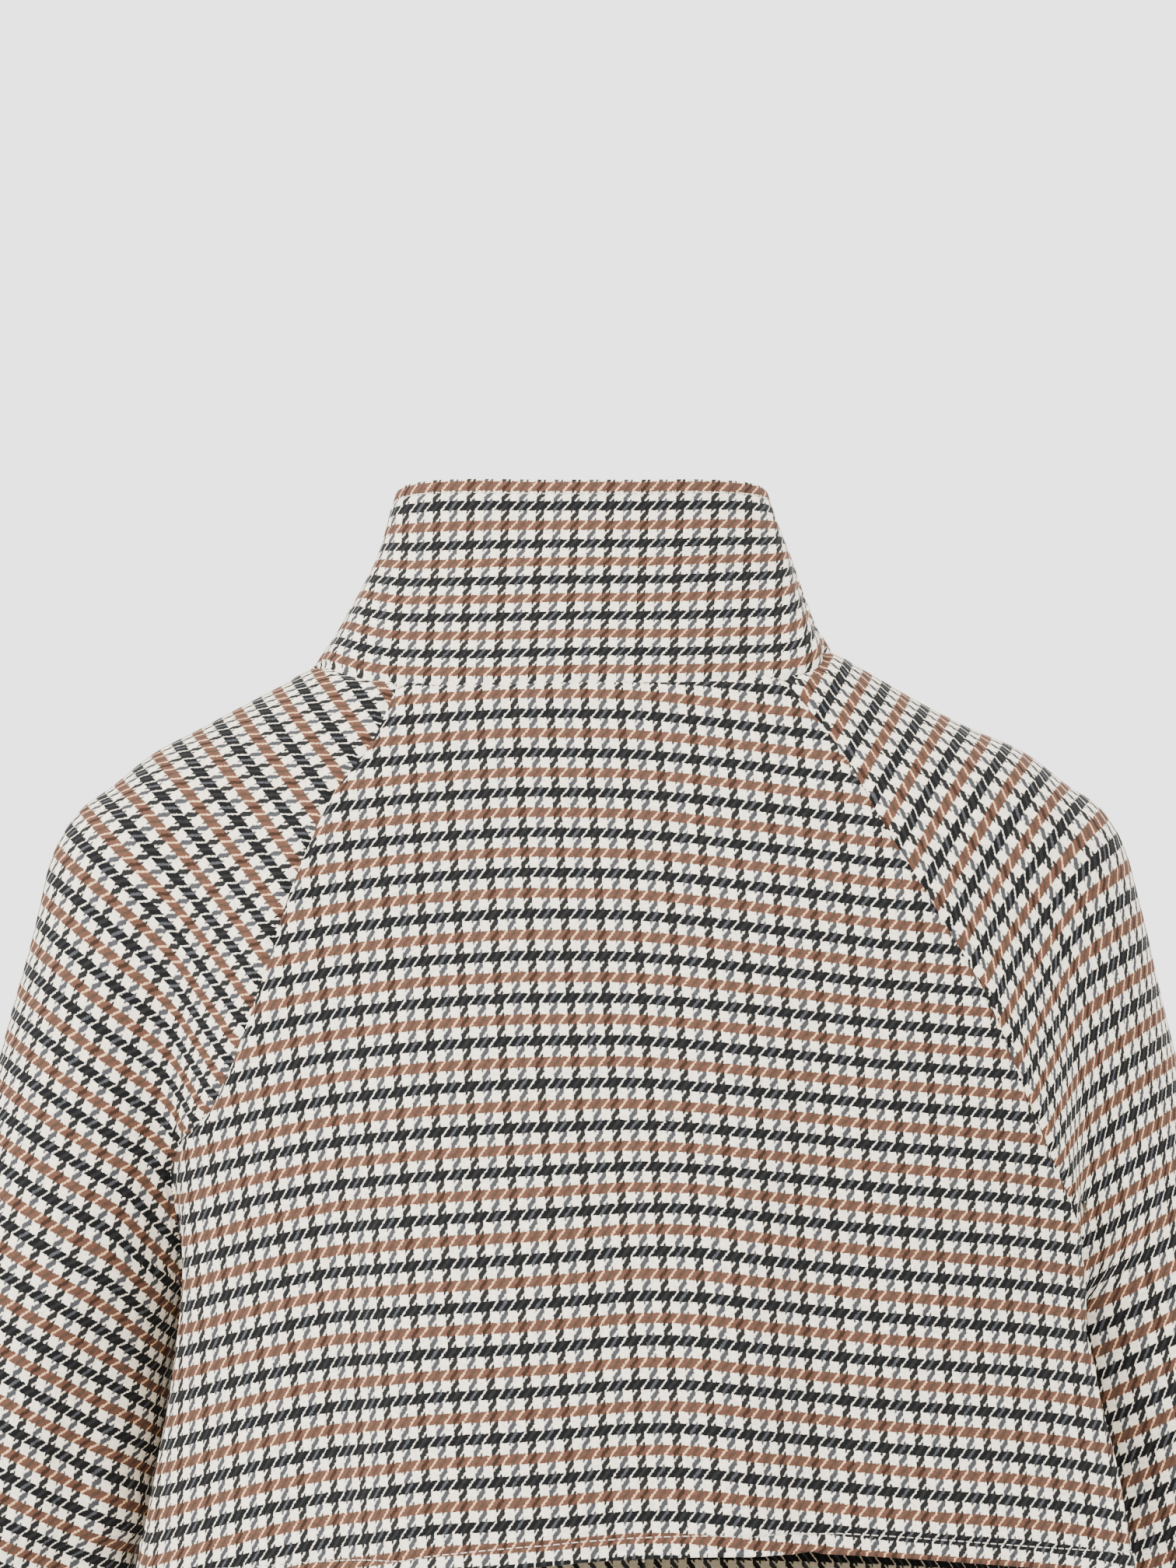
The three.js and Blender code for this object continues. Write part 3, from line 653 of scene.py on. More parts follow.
def mesh_object(name, points, walls, grain, material, closed_ring=False, thick=WALL):
    """A closed cloth wall: the outer grid, the inner one and rounded edges between them."""
    rows, columns = points.shape[:2]
    inner = points - walls * np.asarray(thick)[..., None] if np.ndim(thick) else points - walls * thick
    vertices = np.concatenate([points.reshape(-1, 3), inner.reshape(-1, 3)])
    faces = []
    uvs = []
    bakes = []
    count = rows * columns
    index = np.arange(count).reshape(rows, columns)
    weld = index.copy()
    if closed_ring is not False:
        weld[closed_ring:, -1] = weld[closed_ring:, 0]
    weld = np.concatenate([weld.reshape(-1), weld.reshape(-1) + count])
    flat = grain.reshape(-1, 2)
    grid_u = np.repeat(np.linspace(0.01, 0.99, columns)[None, :], rows, 0).reshape(-1)
    grid_v = np.repeat(np.linspace(0.01, 0.47, rows)[:, None], columns, 1).reshape(-1)
    a, b = index[:-1, :-1], index[:-1, 1:]
    c, d = index[1:, 1:], index[1:, :-1]
    outer = np.stack([a, d, c, b], -1).reshape(-1, 4)
    faces.append(outer)
    uvs.append(flat[outer])
    bakes.append(np.stack([grid_u[outer], grid_v[outer]], -1))
    back = outer[:, ::-1]
    faces.append(back + count)
    uvs.append(flat[back])
    bakes.append(np.stack([grid_u[back], grid_v[back] + 0.5], -1))

    # Rounded edges: a half circle of points between the outer and the inner border
    def border(order, row_line):
        nonlocal vertices
        line = order
        p = vertices[line]
        q = vertices[line + count]
        middle = (p + q) / 2
        inward_line = row_line
        away = p - vertices[inward_line]
        spine = p - q
        half = np.linalg.norm(spine, axis=-1, keepdims=True) / 2
        across = unit(spine)
        away = away - across * dot(away, across)[:, None]
        away = unit(away)
        loops = [line]
        for k in range(1, RIM_STEPS + 1):
            t = math.pi * k / (RIM_STEPS + 1)
            ring = middle + across * half * math.cos(t) + away * half * math.sin(t) * 0.8
            loops.append(np.arange(len(line)) + len(vertices))
            vertices = np.concatenate([vertices, ring])
        loops.append(line + count)
        for k in range(len(loops) - 1):
            quad = np.stack(
                [loops[k][:-1], loops[k + 1][:-1], loops[k + 1][1:], loops[k][1:]], -1
            )
            source = np.stack([line[:-1], line[:-1], line[1:], line[1:]], -1)
            faces.append(quad)
            uvs.append(flat[source])
            strip = 0.975 + 0.02 * (np.array([k, k + 1, k + 1, k]) / len(loops))
            bakes.append(np.stack([grid_u[source], np.repeat(strip[None], len(quad), 0)], -1))

    ring = rows if closed_ring is False else closed_ring
    border(index[0][::-1], index[1][::-1])
    border(index[-1], index[-2])
    border(index[: min(rows, ring + 1), 0], index[: min(rows, ring + 1), 1])
    border(index[: min(rows, ring + 1), -1][::-1], index[: min(rows, ring + 1), -2][::-1])
    all_faces = np.concatenate(faces)
    weld = np.concatenate([weld, np.arange(len(weld), len(vertices))])
    all_faces = weld[all_faces]
    used = np.unique(all_faces)
    renumbered = np.zeros(len(vertices), int)
    renumbered[used] = np.arange(len(used))
    all_faces = renumbered[all_faces]
    vertices = vertices[used]
    all_uvs = np.concatenate([u.reshape(-1, 2) for u in uvs])
    all_bakes = np.concatenate([u.reshape(-1, 2) for u in bakes])
    mesh = bpy.data.meshes.new(name)
    mesh.vertices.add(len(vertices))
    mesh.vertices.foreach_set("co", (vertices * MM).reshape(-1))
    mesh.loops.add(all_faces.size)
    mesh.loops.foreach_set("vertex_index", all_faces.reshape(-1).astype(np.int32))
    mesh.polygons.add(len(all_faces))
    mesh.polygons.foreach_set("loop_start", np.arange(len(all_faces), dtype=np.int32) * 4)
    mesh.polygons.foreach_set("loop_total", np.full(len(all_faces), 4, np.int32))
    mesh.polygons.foreach_set("use_smooth", np.ones(len(all_faces), bool))
    mesh.update(calc_edges=True)
    grain_map = mesh.uv_layers.new(name="Grain")
    grain_map.data.foreach_set("uv", (all_uvs * MM).reshape(-1))
    bake_map = mesh.uv_layers.new(name="OFBake")
    bake_map.data.foreach_set("uv", all_bakes.reshape(-1))
    mesh.materials.append(material)
    obj = bpy.data.objects.new(name, mesh)
    bpy.context.scene.collection.objects.link(obj)
    return obj


class Shader:
    """Short calls for the nodes of one material."""

    def __init__(self, name):
        self.material = bpy.data.materials.new(name)
        self.material.use_nodes = True
        self.tree = self.material.node_tree
        self.principled = self.tree.nodes["Principled BSDF"]

    def put(self, socket, value):
        if isinstance(value, bpy.types.NodeSocket):
            self.tree.links.new(value, socket)
        else:
            socket.default_value = value

    def math(self, operation, *values):
        node = self.tree.nodes.new("ShaderNodeMath")
        node.operation = operation
        for socket, value in zip(node.inputs, values):
            self.put(socket, value)
        return node.outputs[0]

    def blend(self, factor, a, b, mode="MIX"):
        node = self.tree.nodes.new("ShaderNodeMix")
        node.data_type = "RGBA"
        node.blend_type = mode
        self.put(node.inputs[0], factor)
        self.put(node.inputs[6], a)
        self.put(node.inputs[7], b)
        return node.outputs[2]

    def noise(self, vector, scale, detail=2.0, roughness=0.5):
        node = self.tree.nodes.new("ShaderNodeTexNoise")
        self.put(node.inputs["Vector"], vector)
        node.inputs["Scale"].default_value = scale
        node.inputs["Detail"].default_value = detail
        node.inputs["Roughness"].default_value = roughness
        return node

    def stretched(self, vector, scale):
        node = self.tree.nodes.new("ShaderNodeVectorMath")
        node.operation = "MULTIPLY"
        self.put(node.inputs[0], vector)
        node.inputs[1].default_value = scale
        return node.outputs[0]

    def range(self, value, low, high, new_low=0.0, new_high=1.0):
        node = self.tree.nodes.new("ShaderNodeMapRange")
        self.put(node.inputs[0], value)
        for i, number in enumerate((low, high, new_low, new_high)):
            node.inputs[i + 1].default_value = number
        return node.outputs[0]

    def bands(self, value, colours):
        """Equal bands of flat colour over 0 to 1."""
        node = self.tree.nodes.new("ShaderNodeValToRGB")
        ramp = node.color_ramp
        ramp.interpolation = "CONSTANT"
        while len(ramp.elements) < len(colours):
            ramp.elements.new(0.5)
        for i, colour in enumerate(colours):
            ramp.elements[i].position = i / len(colours)
            ramp.elements[i].color = (*colour, 1)
        self.put(node.inputs[0], value)
        return node.outputs[0]


# The cloth: a 2/2 twill with four threads of each colour in turn
WARP_REPEAT = 15.2
WEFT_REPEAT = 19.0
THREADS = 16
BLACK = (0.0085, 0.0088, 0.0092)
BLACK_WARP = (0.018, 0.018, 0.0175)
# Painted shade: the tone that darkens the whole reverse side of the cloth, for the shadow inside the jacket
REVERSE_SIDE_PAINTED_SHADE = (0.26, 0.24, 0.195)
CREAM = (0.93, 0.83, 0.67)
GREY = (0.055, 0.056, 0.06)
BROWN = (0.105, 0.050, 0.034)
PEACH = (1.0, 0.68, 0.44)
DARKNESS = {
    "warp": [(0.8, 0.8, 0.8), (0, 0, 0), (0.6, 0.6, 0.6), (0, 0, 0)],
    "weft": [(0.95, 0.95, 0.95), (0, 0, 0), (0.75, 0.75, 0.75), (0, 0, 0)],
}


def houndstooth():
    s = Shader("wool_houndstooth")
    grain = s.tree.nodes.new("ShaderNodeUVMap")
    grain.uv_map = "Grain"
    uv = grain.outputs[0]
    wobble = s.noise(uv, 1500.0, 2.0, 0.6)
    split = s.tree.nodes.new("ShaderNodeSeparateXYZ")
    s.put(split.inputs[0], wobble.outputs["Color"])
    place = s.tree.nodes.new("ShaderNodeSeparateXYZ")
    s.put(place.inputs[0], uv)
    jitter = 0.75
    across = s.math("MULTIPLY", place.outputs[0], THREADS / (WARP_REPEAT * MM))
    up = s.math("MULTIPLY", place.outputs[1], THREADS / (WEFT_REPEAT * MM))
    u = s.math("ADD", across, s.range(split.outputs[0], 0, 1, -jitter, jitter))
    v = s.math("ADD", up, s.range(split.outputs[1], 0, 1, -jitter, jitter))
    u_step = s.math("ADD", s.math("FLOOR", u), 0.5)
    v_step = s.math("ADD", s.math("FLOOR", v), 0.5)
    warp = s.bands(s.math("FRACT", s.math("DIVIDE", u_step, THREADS)), [BLACK_WARP, CREAM, GREY, CREAM])
    weft_band = s.math("FRACT", s.math("DIVIDE", v_step, THREADS))
    weft = s.bands(weft_band, [BLACK, CREAM, BROWN, CREAM])
    # Brown fibres rub off on the warp where it crosses the brown weft
    in_brown = s.bands(weft_band, [(0, 0, 0), (0, 0, 0), (1, 1, 1), (0, 0, 0)])
    rubbed = s.blend(0.2, s.blend(1.0, warp, (*PEACH, 1), "MULTIPLY"), (*BROWN, 1))
    warp = s.blend(in_brown, warp, rubbed)
    # Dark threads spread a little over light ones
    warp_dark = s.bands(s.math("FRACT", s.math("DIVIDE", u_step, THREADS)), DARKNESS["warp"])
    weft_dark = s.bands(weft_band, DARKNESS["weft"])
    spread = s.math("MULTIPLY", s.math("SUBTRACT", weft_dark, warp_dark), 0.35)
    # Diagonal of the twill, part stepped by thread and part straight, as brushed wool shows it
    stepped = 0.15
    u_mix = s.math("ADD", s.math("MULTIPLY", u_step, stepped), s.math("MULTIPLY", u, 1 - stepped))
    v_mix = s.math("ADD", s.math("MULTIPLY", v_step, stepped), s.math("MULTIPLY", v, 1 - stepped))
    twill = s.math("FRACT", s.math("DIVIDE", s.math("SUBTRACT", u_mix, v_mix), 4.0))
    wave = s.math("ABSOLUTE", s.math("SUBTRACT", s.math("MULTIPLY", twill, 2.0), 1.0))
    warp_up = s.range(s.math("SUBTRACT", wave, spread), 0.44, 0.56)
    colour = s.blend(warp_up, weft, warp)
    fibre = s.noise(s.stretched(uv, (1.0, 1.0, 1.0)), 2600.0, 2.0, 0.6)
    tuft = s.noise(uv, 500.0, 3.0, 0.65)
    patch = s.noise(uv, 60.0, 3.0, 0.5)
    tone = s.math(
        "MULTIPLY",
        s.range(fibre.outputs[0], 0.25, 0.75, 0.72, 1.18),
        s.range(patch.outputs[0], 0.3, 0.7, 0.96, 1.03),
    )
    tone = s.math("MULTIPLY", tone, s.range(tuft.outputs[0], 0.3, 0.7, 0.80, 1.16))
    tint = s.tree.nodes.new("ShaderNodeCombineColor")
    for i in range(3):
        s.put(tint.inputs[i], tone)
    colour = s.blend(1.0, colour, tint.outputs[0], "MULTIPLY")
    # The reverse side, which has its own half of the bake map, is darkened to khaki on every panel: painted shade,
    # standing in for the shadow inside the jacket
    halves = s.tree.nodes.new("ShaderNodeUVMap")
    halves.uv_map = "OFBake"
    half = s.tree.nodes.new("ShaderNodeSeparateXYZ")
    s.put(half.inputs[0], halves.outputs[0])
    above = s.math("GREATER_THAN", half.outputs[1], 0.49)
    reverse = s.math("MULTIPLY", above, s.math("LESS_THAN", half.outputs[1], 0.972))
    painted_inside_shade = s.blend(1.0, colour, (*REVERSE_SIDE_PAINTED_SHADE, 1), "MULTIPLY")
    colour = s.blend(reverse, colour, painted_inside_shade)
    s.put(s.principled.inputs["Base Color"], colour)

    def round_thread(value):
        centred = s.math("SUBTRACT", s.math("MULTIPLY", s.math("FRACT", value), 2.0), 1.0)
        return s.math("SUBTRACT", 1.0, s.math("MULTIPLY", centred, centred))

    warp_height = round_thread(u)
    weft_height = round_thread(v)
    over = s.math("MULTIPLY", warp_height, warp_up)
    under = s.math("MULTIPLY", weft_height, s.math("SUBTRACT", 1.0, warp_up))
    height = s.math("ADD", s.math("ADD", over, under), s.math("MULTIPLY", fibre.outputs[0], 1.2))
    bump = s.tree.nodes.new("ShaderNodeBump")
    bump.inputs["Strength"].default_value = 0.35
    bump.inputs["Distance"].default_value = 0.0003
    s.put(bump.inputs["Height"], height)
    s.put(s.principled.inputs["Normal"], bump.outputs[0])
    s.principled.inputs["Roughness"].default_value = 0.95
    s.principled.inputs["Specular IOR Level"].default_value = 0.04
    s.principled.inputs["Sheen Weight"].default_value = 0.02
    s.principled.inputs["Sheen Roughness"].default_value = 0.5
    return s.material


wool = houndstooth()

# How far a weft row hangs below its middle at each place across the back
WEFT_DROP = [
    (-235, 27.7),
    (-213, 21.5),
    (-193, 17.3),
    (-173, 14.4),
    (-114, 8.2),
    (-67, 3.3),
    (-34, 0.5),
    (-8, 0),
    (65, 3.6),
    (104, 8.4),
    (124, 12.5),
    (144, 17.7),
    (164, 24.2),
    (190, 34),
]
weft_drop = curve(WEFT_DROP, 1)
# On the right of the upper back the weft hangs further: how far across, and its share by height
RIGHT_HANG = [(-123, 6.5), (-90, 5), (-57, 3.8), (-24, 2.6), (30, 0)]
RIGHT_HANG_SHARE = [(-250, 0), (-185, 0.25), (-150, 0.6), (-100, 1), (0, 1)]
right_hang = curve(RIGHT_HANG, 1)
right_hang_share = curve(RIGHT_HANG_SHARE, 1)
# The rows lie closer towards the hem, and are lifted a little right of the middle
TAKE_UP = {"below": -264, "share": 0.036, "full_x": 60, "none_x": 110}
LIFT = {"x": -45, "wide": 45, "up": 3, "from": 170, "to": 240}


def hang(x, z):
    """How far the weft rows hang below level, over the whole back."""
    lower = np.maximum(TAKE_UP["below"] - z, 0) * TAKE_UP["share"]
    lower = lower * (1 - smooth(x, TAKE_UP["full_x"], TAKE_UP["none_x"]))
    lift = LIFT["up"] * np.exp(-(((x - LIFT["x"]) / LIFT["wide"]) ** 2))
    lift = lift * smooth(-z, LIFT["from"], LIFT["to"])
    return right_hang(x) * right_hang_share(z) - lower - lift


# The centre back line of the cloth, by height, and the place of one black weft row
CENTRE_BACK = [(20, 9), (0, 7), (-150, -4), (-371, -21)]
centre_back = curve(CENTRE_BACK, 1)
WEFT_PHASE = {"z": -351.7, "part": 6 / THREADS}
WARP_PHASE = -3.2 / THREADS
SIDE_EASE = 0.65


def body_grain(points, normals, middle):
    """Grain places across and up, running out from column number middle."""
    level = unit(np.cross(np.array([0, 0, 1.0]), normals))
    rise = np.cross(normals, level)
    step = np.diff(points, axis=1)
    mean_level = (level[:, 1:] + level[:, :-1]) / 2
    mean_rise = (rise[:, 1:] + rise[:, :-1]) / 2
    zero = np.zeros((len(points), 1))
    across = np.concatenate([zero, np.cumsum(dot(step, mean_level), 1)], 1)
    up = np.concatenate([zero, np.cumsum(dot(step, mean_rise), 1)], 1)
    across -= across[:, middle : middle + 1]
    up -= up[:, middle : middle + 1]
    column = points[:, middle]
    down = np.diff(column, axis=0)
    mean = (rise[1:, middle] + rise[:-1, middle]) / 2
    spine = np.concatenate([[0], np.cumsum(dot(down, mean))])
    return across, up + spine[:, None], spine


def seam_relief(distance, depth=1.3, width=2.2, bulk=0.55):
    """A sewn edge: it dips at the seam, and its turned allowance pads it beside that."""
    dip = -depth * np.exp(-((distance / width) ** 2))
    pad = bulk * smooth(distance, 1.5, 4) * (1 - smooth(distance, 9, 14))
    return dip + pad


def stitch_relief(distance, at, depth=0.7, width=1.0):
    return -depth * np.exp(-(((distance - at) / width) ** 2))


HEM_STITCH = 8.0
CUFF_STITCH = 8.0
COLLAR_STITCH = 6.0
EDGE_STITCH = 6.0

grids = {"back": relax(back_grid(), 6)}
for front_side, front_name in ((1, "front_left"), (-1, "front_right")):
    grids[front_name] = relax(front_grid(front_side), 6)
for sleeve_side, sleeve_name in ((1, "sleeve_left"), (-1, "sleeve_right")):
    grids[sleeve_name] = relax(sleeve_grid(sleeve_side), 8)

made = {}


def finish_panel(name, points, walls, grain, ring=False):
    obj = mesh_object("cloth_" + name, points, walls, grain, wool, ring)
    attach(obj, "root")
    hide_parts(name)
    made[name] = obj
    return obj


def neck_blended(points, normals, reach=9.0):
    """Wall directions that turn to the shared seam direction at the collar seam."""
    neck = neck_wall(neck_angle(points[0]))
    distance = lengths_along(points, 0)
    share = (1 - smooth(distance, 0, reach))[..., None]
    return mix(normals, neck[None], share)


def back_panel():
    points = grids["back"]
    normals = grid_normals(points)
    middle = BACK_COLUMNS // 2
    across, up, spine = body_grain(points, normals, middle)
    x = points[..., 0]
    z = points[..., 2]
    across = across - points[:, middle : middle + 1, 0] + centre_back(z)
    # The cloth is eased towards the sides, so its columns keep most of their width from behind
    across = mix(across, centre_back(z) - x, SIDE_EASE)
    zero_up = np.interp(-WEFT_PHASE["z"], -points[:, middle, 2], spine)
    drop = weft_drop(x) - weft_drop(points[:, middle, 0])[:, None] + hang(x, z)
    grain = np.stack(
        [
            across + WARP_PHASE * WARP_REPEAT,
            up - zero_up + drop + WEFT_PHASE["part"] * WEFT_REPEAT,
        ],
        -1,
    )
    from_left = lengths_along(points, 1)
    from_right = from_left[:, -1:] - from_left
    down = lengths_along(points, 0)
    from_hem = down[-1:] - down
    relief = seam_relief(from_left) + seam_relief(from_right) + seam_relief(down)
    relief += stitch_relief(from_hem, HEM_STITCH) + 0.5 * (1 - smooth(from_hem, 6, 12))
    walls = neck_blended(points, normals)
    made["back_hem"] = hem_stitches(points, normals, relief, from_hem, HEM_STITCH)
    finish_panel("back", points + normals * relief[..., None], walls, grain)


def hem_stitches(points, normals, relief, distance, at):
    """Points of a line of stitching that runs across all columns at one distance from an edge."""
    line = []
    lifted = points + normals * relief[..., None]
    for j in range(points.shape[1]):
        order = np.argsort(distance[:, j])
        row = [np.interp(at, distance[order, j], lifted[order, j, k]) for k in range(3)]
        up = [np.interp(at, distance[order, j], normals[order, j, k]) for k in range(3)]
        line.append((*row, *up))
    return np.array(line)


def front_panel(side):
    name = "front_left" if side > 0 else "front_right"
    points = grids[name]
    normals = grid_normals(points)
    middle = FRONT_COLUMNS // 2
    across, up, spine = body_grain(points, normals, middle)
    across = across + points[:, middle : middle + 1, 0]
    zero_up = np.interp(-WEFT_PHASE["z"], -points[:, middle, 2], spine)
    grain = np.stack([across, up - zero_up + WEFT_PHASE["part"] * WEFT_REPEAT], -1)
    from_start = lengths_along(points, 1)
    from_end = from_start[:, -1:] - from_start
    from_edge, from_seam = (from_start, from_end) if side > 0 else (from_end, from_start)
    down = lengths_along(points, 0)
    from_hem = down[-1:] - down
    relief = seam_relief(from_seam) + seam_relief(down)
    relief += stitch_relief(from_hem, HEM_STITCH) + 0.5 * (1 - smooth(from_hem, 6, 12))
    relief += stitch_relief(from_edge, EDGE_STITCH) * smooth(from_hem, 6, 9)
    if side > 0:
        under = (points[..., 2] < 0) & (points[..., 1] < 0)
        sink = (WALL + LAYER_GAP + 0.9) * (1 - smooth(points[..., 0], OVERLAP + 4, OVERLAP + 22))
        relief = relief - np.where(under, sink, 0)
    walls = neck_blended(points, normals)
    made[name + "_hem"] = hem_stitches(points, normals, relief, from_hem, HEM_STITCH)
    flipped = np.transpose(points, (1, 0, 2))
    made[name + "_edge"] = hem_stitches(
        flipped,
        np.transpose(normals, (1, 0, 2)),
        relief.T,
        from_edge.T,
        EDGE_STITCH,
    )
    finish_panel(name, points + normals * relief[..., None], walls, grain)


# Slope of the sleeves' weft as seen from behind, in degrees down towards the body: between the
# seam and the fold that runs down from the shoulder, and on the arm beyond that fold, by height
SLEEVE_GRAIN = {
    "left": {"inside": 53, "arm": [(-600, 6), (-371, 25), (-280, 29), (-182, 33), (-40, 36)]},
    "right": {"inside": 60, "arm": [(-600, 6), (-371, 26), (-200, 27), (-93, 27), (-40, 40)]},
}
GRAIN_FOLD = {
    "left": [
        (-600, 190),
        (-450, 200),
        (-371, 204),
        (-237, 206),
        (-195, 186),
        (-136, 183),
        (-90, 196),
        (-65, 220),
        (-40, 240),
    ],
    "right": [(-600, 180), (-371, 190), (-200, 204), (-162, 211), (-93, 213), (-60, 232), (-40, 245)],
}
FOLD_SOFTNESS = 9


def fitted(points, gradient, start, passes=900):
    """The number at each grid point whose slope comes nearest to the wanted gradient."""
    row_step = np.diff(points, axis=1)
    column_step = np.diff(points, axis=0)
    wanted_row = dot(row_step, (gradient[:, 1:] + gradient[:, :-1]) / 2)
    wanted_column = dot(column_step, (gradient[1:] + gradient[:-1]) / 2)
    row_length = np.maximum(np.linalg.norm(row_step, axis=-1), 0.3)
    column_length = np.maximum(np.linalg.norm(column_step, axis=-1), 0.3)
    side_width = np.pad(row_length, ((0, 0), (1, 1)), "edge")
    down_width = np.pad(column_length, ((1, 1), (0, 0)), "edge")
    row_weight = (down_width[1:] + down_width[:-1])[:, 1:] / row_length / 2
    column_weight = (side_width[:, 1:] + side_width[:, :-1])[1:] / column_length / 2

    def gathered(row_part, column_part):
        total = np.zeros(points.shape[:2])
        total[:, 1:] += row_part
        total[:, :-1] -= row_part
        total[1:] += column_part
        total[:-1] -= column_part
        return total

    def pulled(value):
        return gathered(
            row_weight * np.diff(value, axis=1), column_weight * np.diff(value, axis=0)
        )

    value = start.copy()
    left = gathered(row_weight * wanted_row, column_weight * wanted_column) - pulled(value)
    direction = left.copy()
    size = (left * left).sum()
    for _ in range(passes):
        if size < 1e-9:
            break
        pull = pulled(direction)
        share = size / (direction * pull).sum()
        value += share * direction
        left -= share * pull
        new_size = (left * left).sum()
        direction = left + direction * (new_size / size)
        size = new_size
    return value


def sleeve_panel(side):
    name = "left" if side > 0 else "right"
    points = grids["sleeve_" + name]
    ring = SEAM_ROWS
    normals = grid_normals(points, ring)
    if side > 0:
        normals = -normals
    middle = SLEEVE_COLUMNS // 2
    along = lengths_along(points, 1)
    along = along - along[:, middle : middle + 1]
    down = lengths_along(points, 0)
    turn = SLEEVE_GRAIN[name]
    out = side * points[..., 0] - curve(GRAIN_FOLD[name], 1)(points[..., 2])
    on_arm = smooth(out, -FOLD_SOFTNESS, FOLD_SOFTNESS)
    slope = np.radians(mix(turn["inside"], curve(turn["arm"], 1)(points[..., 2]), on_arm))

    def on_surface(v):
        return unit(v - normals * dot(v, normals)[..., None])

    # Behind, the weft has that slope as seen from there; in front, the warp leans by as much
    seen_x = -side * np.cos(slope)
    seen_z = -np.sin(slope)
    depth = -(seen_x * normals[..., 0] + seen_z * normals[..., 2])
    depth = depth / np.maximum(normals[..., 1], 0.3)
    weft_behind = on_surface(np.stack([seen_x, depth, seen_z], -1))
    axis = np.stack([side * np.sin(slope), np.full(slope.shape, -0.25), -np.cos(slope)], -1)
    weft_in_front = side * np.cross(normals, on_surface(axis))
    turned = smooth(normals[..., 1], -0.15, 0.25)[..., None]
    weft = on_surface(mix(weft_in_front, weft_behind, turned))
    rise = side * unit(np.cross(normals, weft))
    aside = weft * side
    grain_v = fitted(points, rise, -down)
    grain_u = fitted(points, aside, -along if side > 0 else along)
    grain = np.stack([grain_u, grain_v], -1)
    from_back = along - along[:, :1]
    from_front = along[:, -1:] - along
    from_cuff = down[-1:] - down
    relief = seam_relief(down)
    relief += seam_relief(from_back) + seam_relief(from_front)
    relief += stitch_relief(from_cuff, CUFF_STITCH) + 0.5 * (1 - smooth(from_cuff, 6, 12))
    relief += sleeve_creases(points, side) + shoulder_shape(points, side)
    walls = neck_blended(points, normals)
    made["cuff_" + name] = hem_stitches(points, normals, relief, from_cuff, CUFF_STITCH)
    moved = points + normals * relief[..., None]
    moved[ring:, -1] = moved[ring:, 0]
    walls[ring:, -1] = walls[ring:, 0]
    if side > 0:
        moved = moved[:, ::-1]
        walls = walls[:, ::-1]
        grain = grain[:, ::-1]
    finish_panel("sleeve_" + name, moved, walls, grain, ring)


# Soft folds at the elbow: height, turn round the arm from its outside, spread and depth
ELBOW_FOLDS = [
    {"z": -352, "lean": 0.25, "wide": 9, "deep": 3.2},
    {"z": -378, "lean": -0.1, "wide": 8, "deep": 3.8},
    {"z": -402, "lean": 0.2, "wide": 9, "deep": 3.0},
    {"z": -530, "lean": -0.2, "wide": 10, "deep": 2.0},
    {"z": -560, "lean": 0.15, "wide": 9, "deep": 1.8},
]


# Where the cloth lies flatter or fuller over the shoulder: middle, reach along it, reach from back
# to front, and how far it moves out
SHOULDER_SHAPE = [
    {"side": 1, "x": 211, "z": -48, "along": 23, "wide": 60, "out": -7.5},
    {"side": -1, "x": 211, "z": -45, "along": 21, "wide": 60, "out": -7.0},
    {"side": 1, "x": 238, "z": -92, "along": 20, "wide": 45, "out": 1.6},
    {"side": -1, "x": 238, "z": -98, "along": 32, "wide": 45, "out": 3.2},
]
# The left sleeve sags against the body above the elbow
INNER_SAG = {"side": 1, "z": -365, "tall": 78, "out": 11.5}


def shoulder_shape(points, side):
    x = side * points[..., 0]
    y = points[..., 1]
    z = points[..., 2]
    relief = np.zeros(z.shape)
    for shape in SHOULDER_SHAPE:
        if shape["side"] == side:
            along = np.hypot(x - shape["x"], z - shape["z"]) / shape["along"]
            relief += shape["out"] * np.exp(-(along**2) - (y / shape["wide"]) ** 2)
    if INNER_SAG["side"] == side:
        inner = smooth(arm["x"](z) - x, 22, 46) * smooth(y, -80, -20)
        tall = (z - INNER_SAG["z"]) / INNER_SAG["tall"]
        relief += INNER_SAG["out"] * inner * np.exp(-(tall**2))
    return relief


def sleeve_creases(points, side):
    """Troughs on the inner side of the elbow, fading out towards the outside of the arm."""
    z = points[..., 2]
    x = side * points[..., 0] - arm["x"](z)
    y = points[..., 1] - arm["y"](z)
    inner = smooth(-x, -20, 45)
    relief = np.zeros(z.shape)
    for fold in ELBOW_FOLDS:
        line = fold["z"] + fold["lean"] * y
        relief -= fold["deep"] * inner * np.exp(-(((z - line) / fold["wide"]) ** 2))
    return relief


# The stand is a little fuller than a straight cone: side of the body, share of its height, how far
COLLAR_FULLNESS = [
    {"side": 1, "from": 0.6, "to": 1.0, "out": 3.6},
    {"side": -1, "from": 0.1, "to": 0.7, "out": 4.2},
]


COLLAR_ROWS_CLOSER = {"below": 25, "share": 0.08}


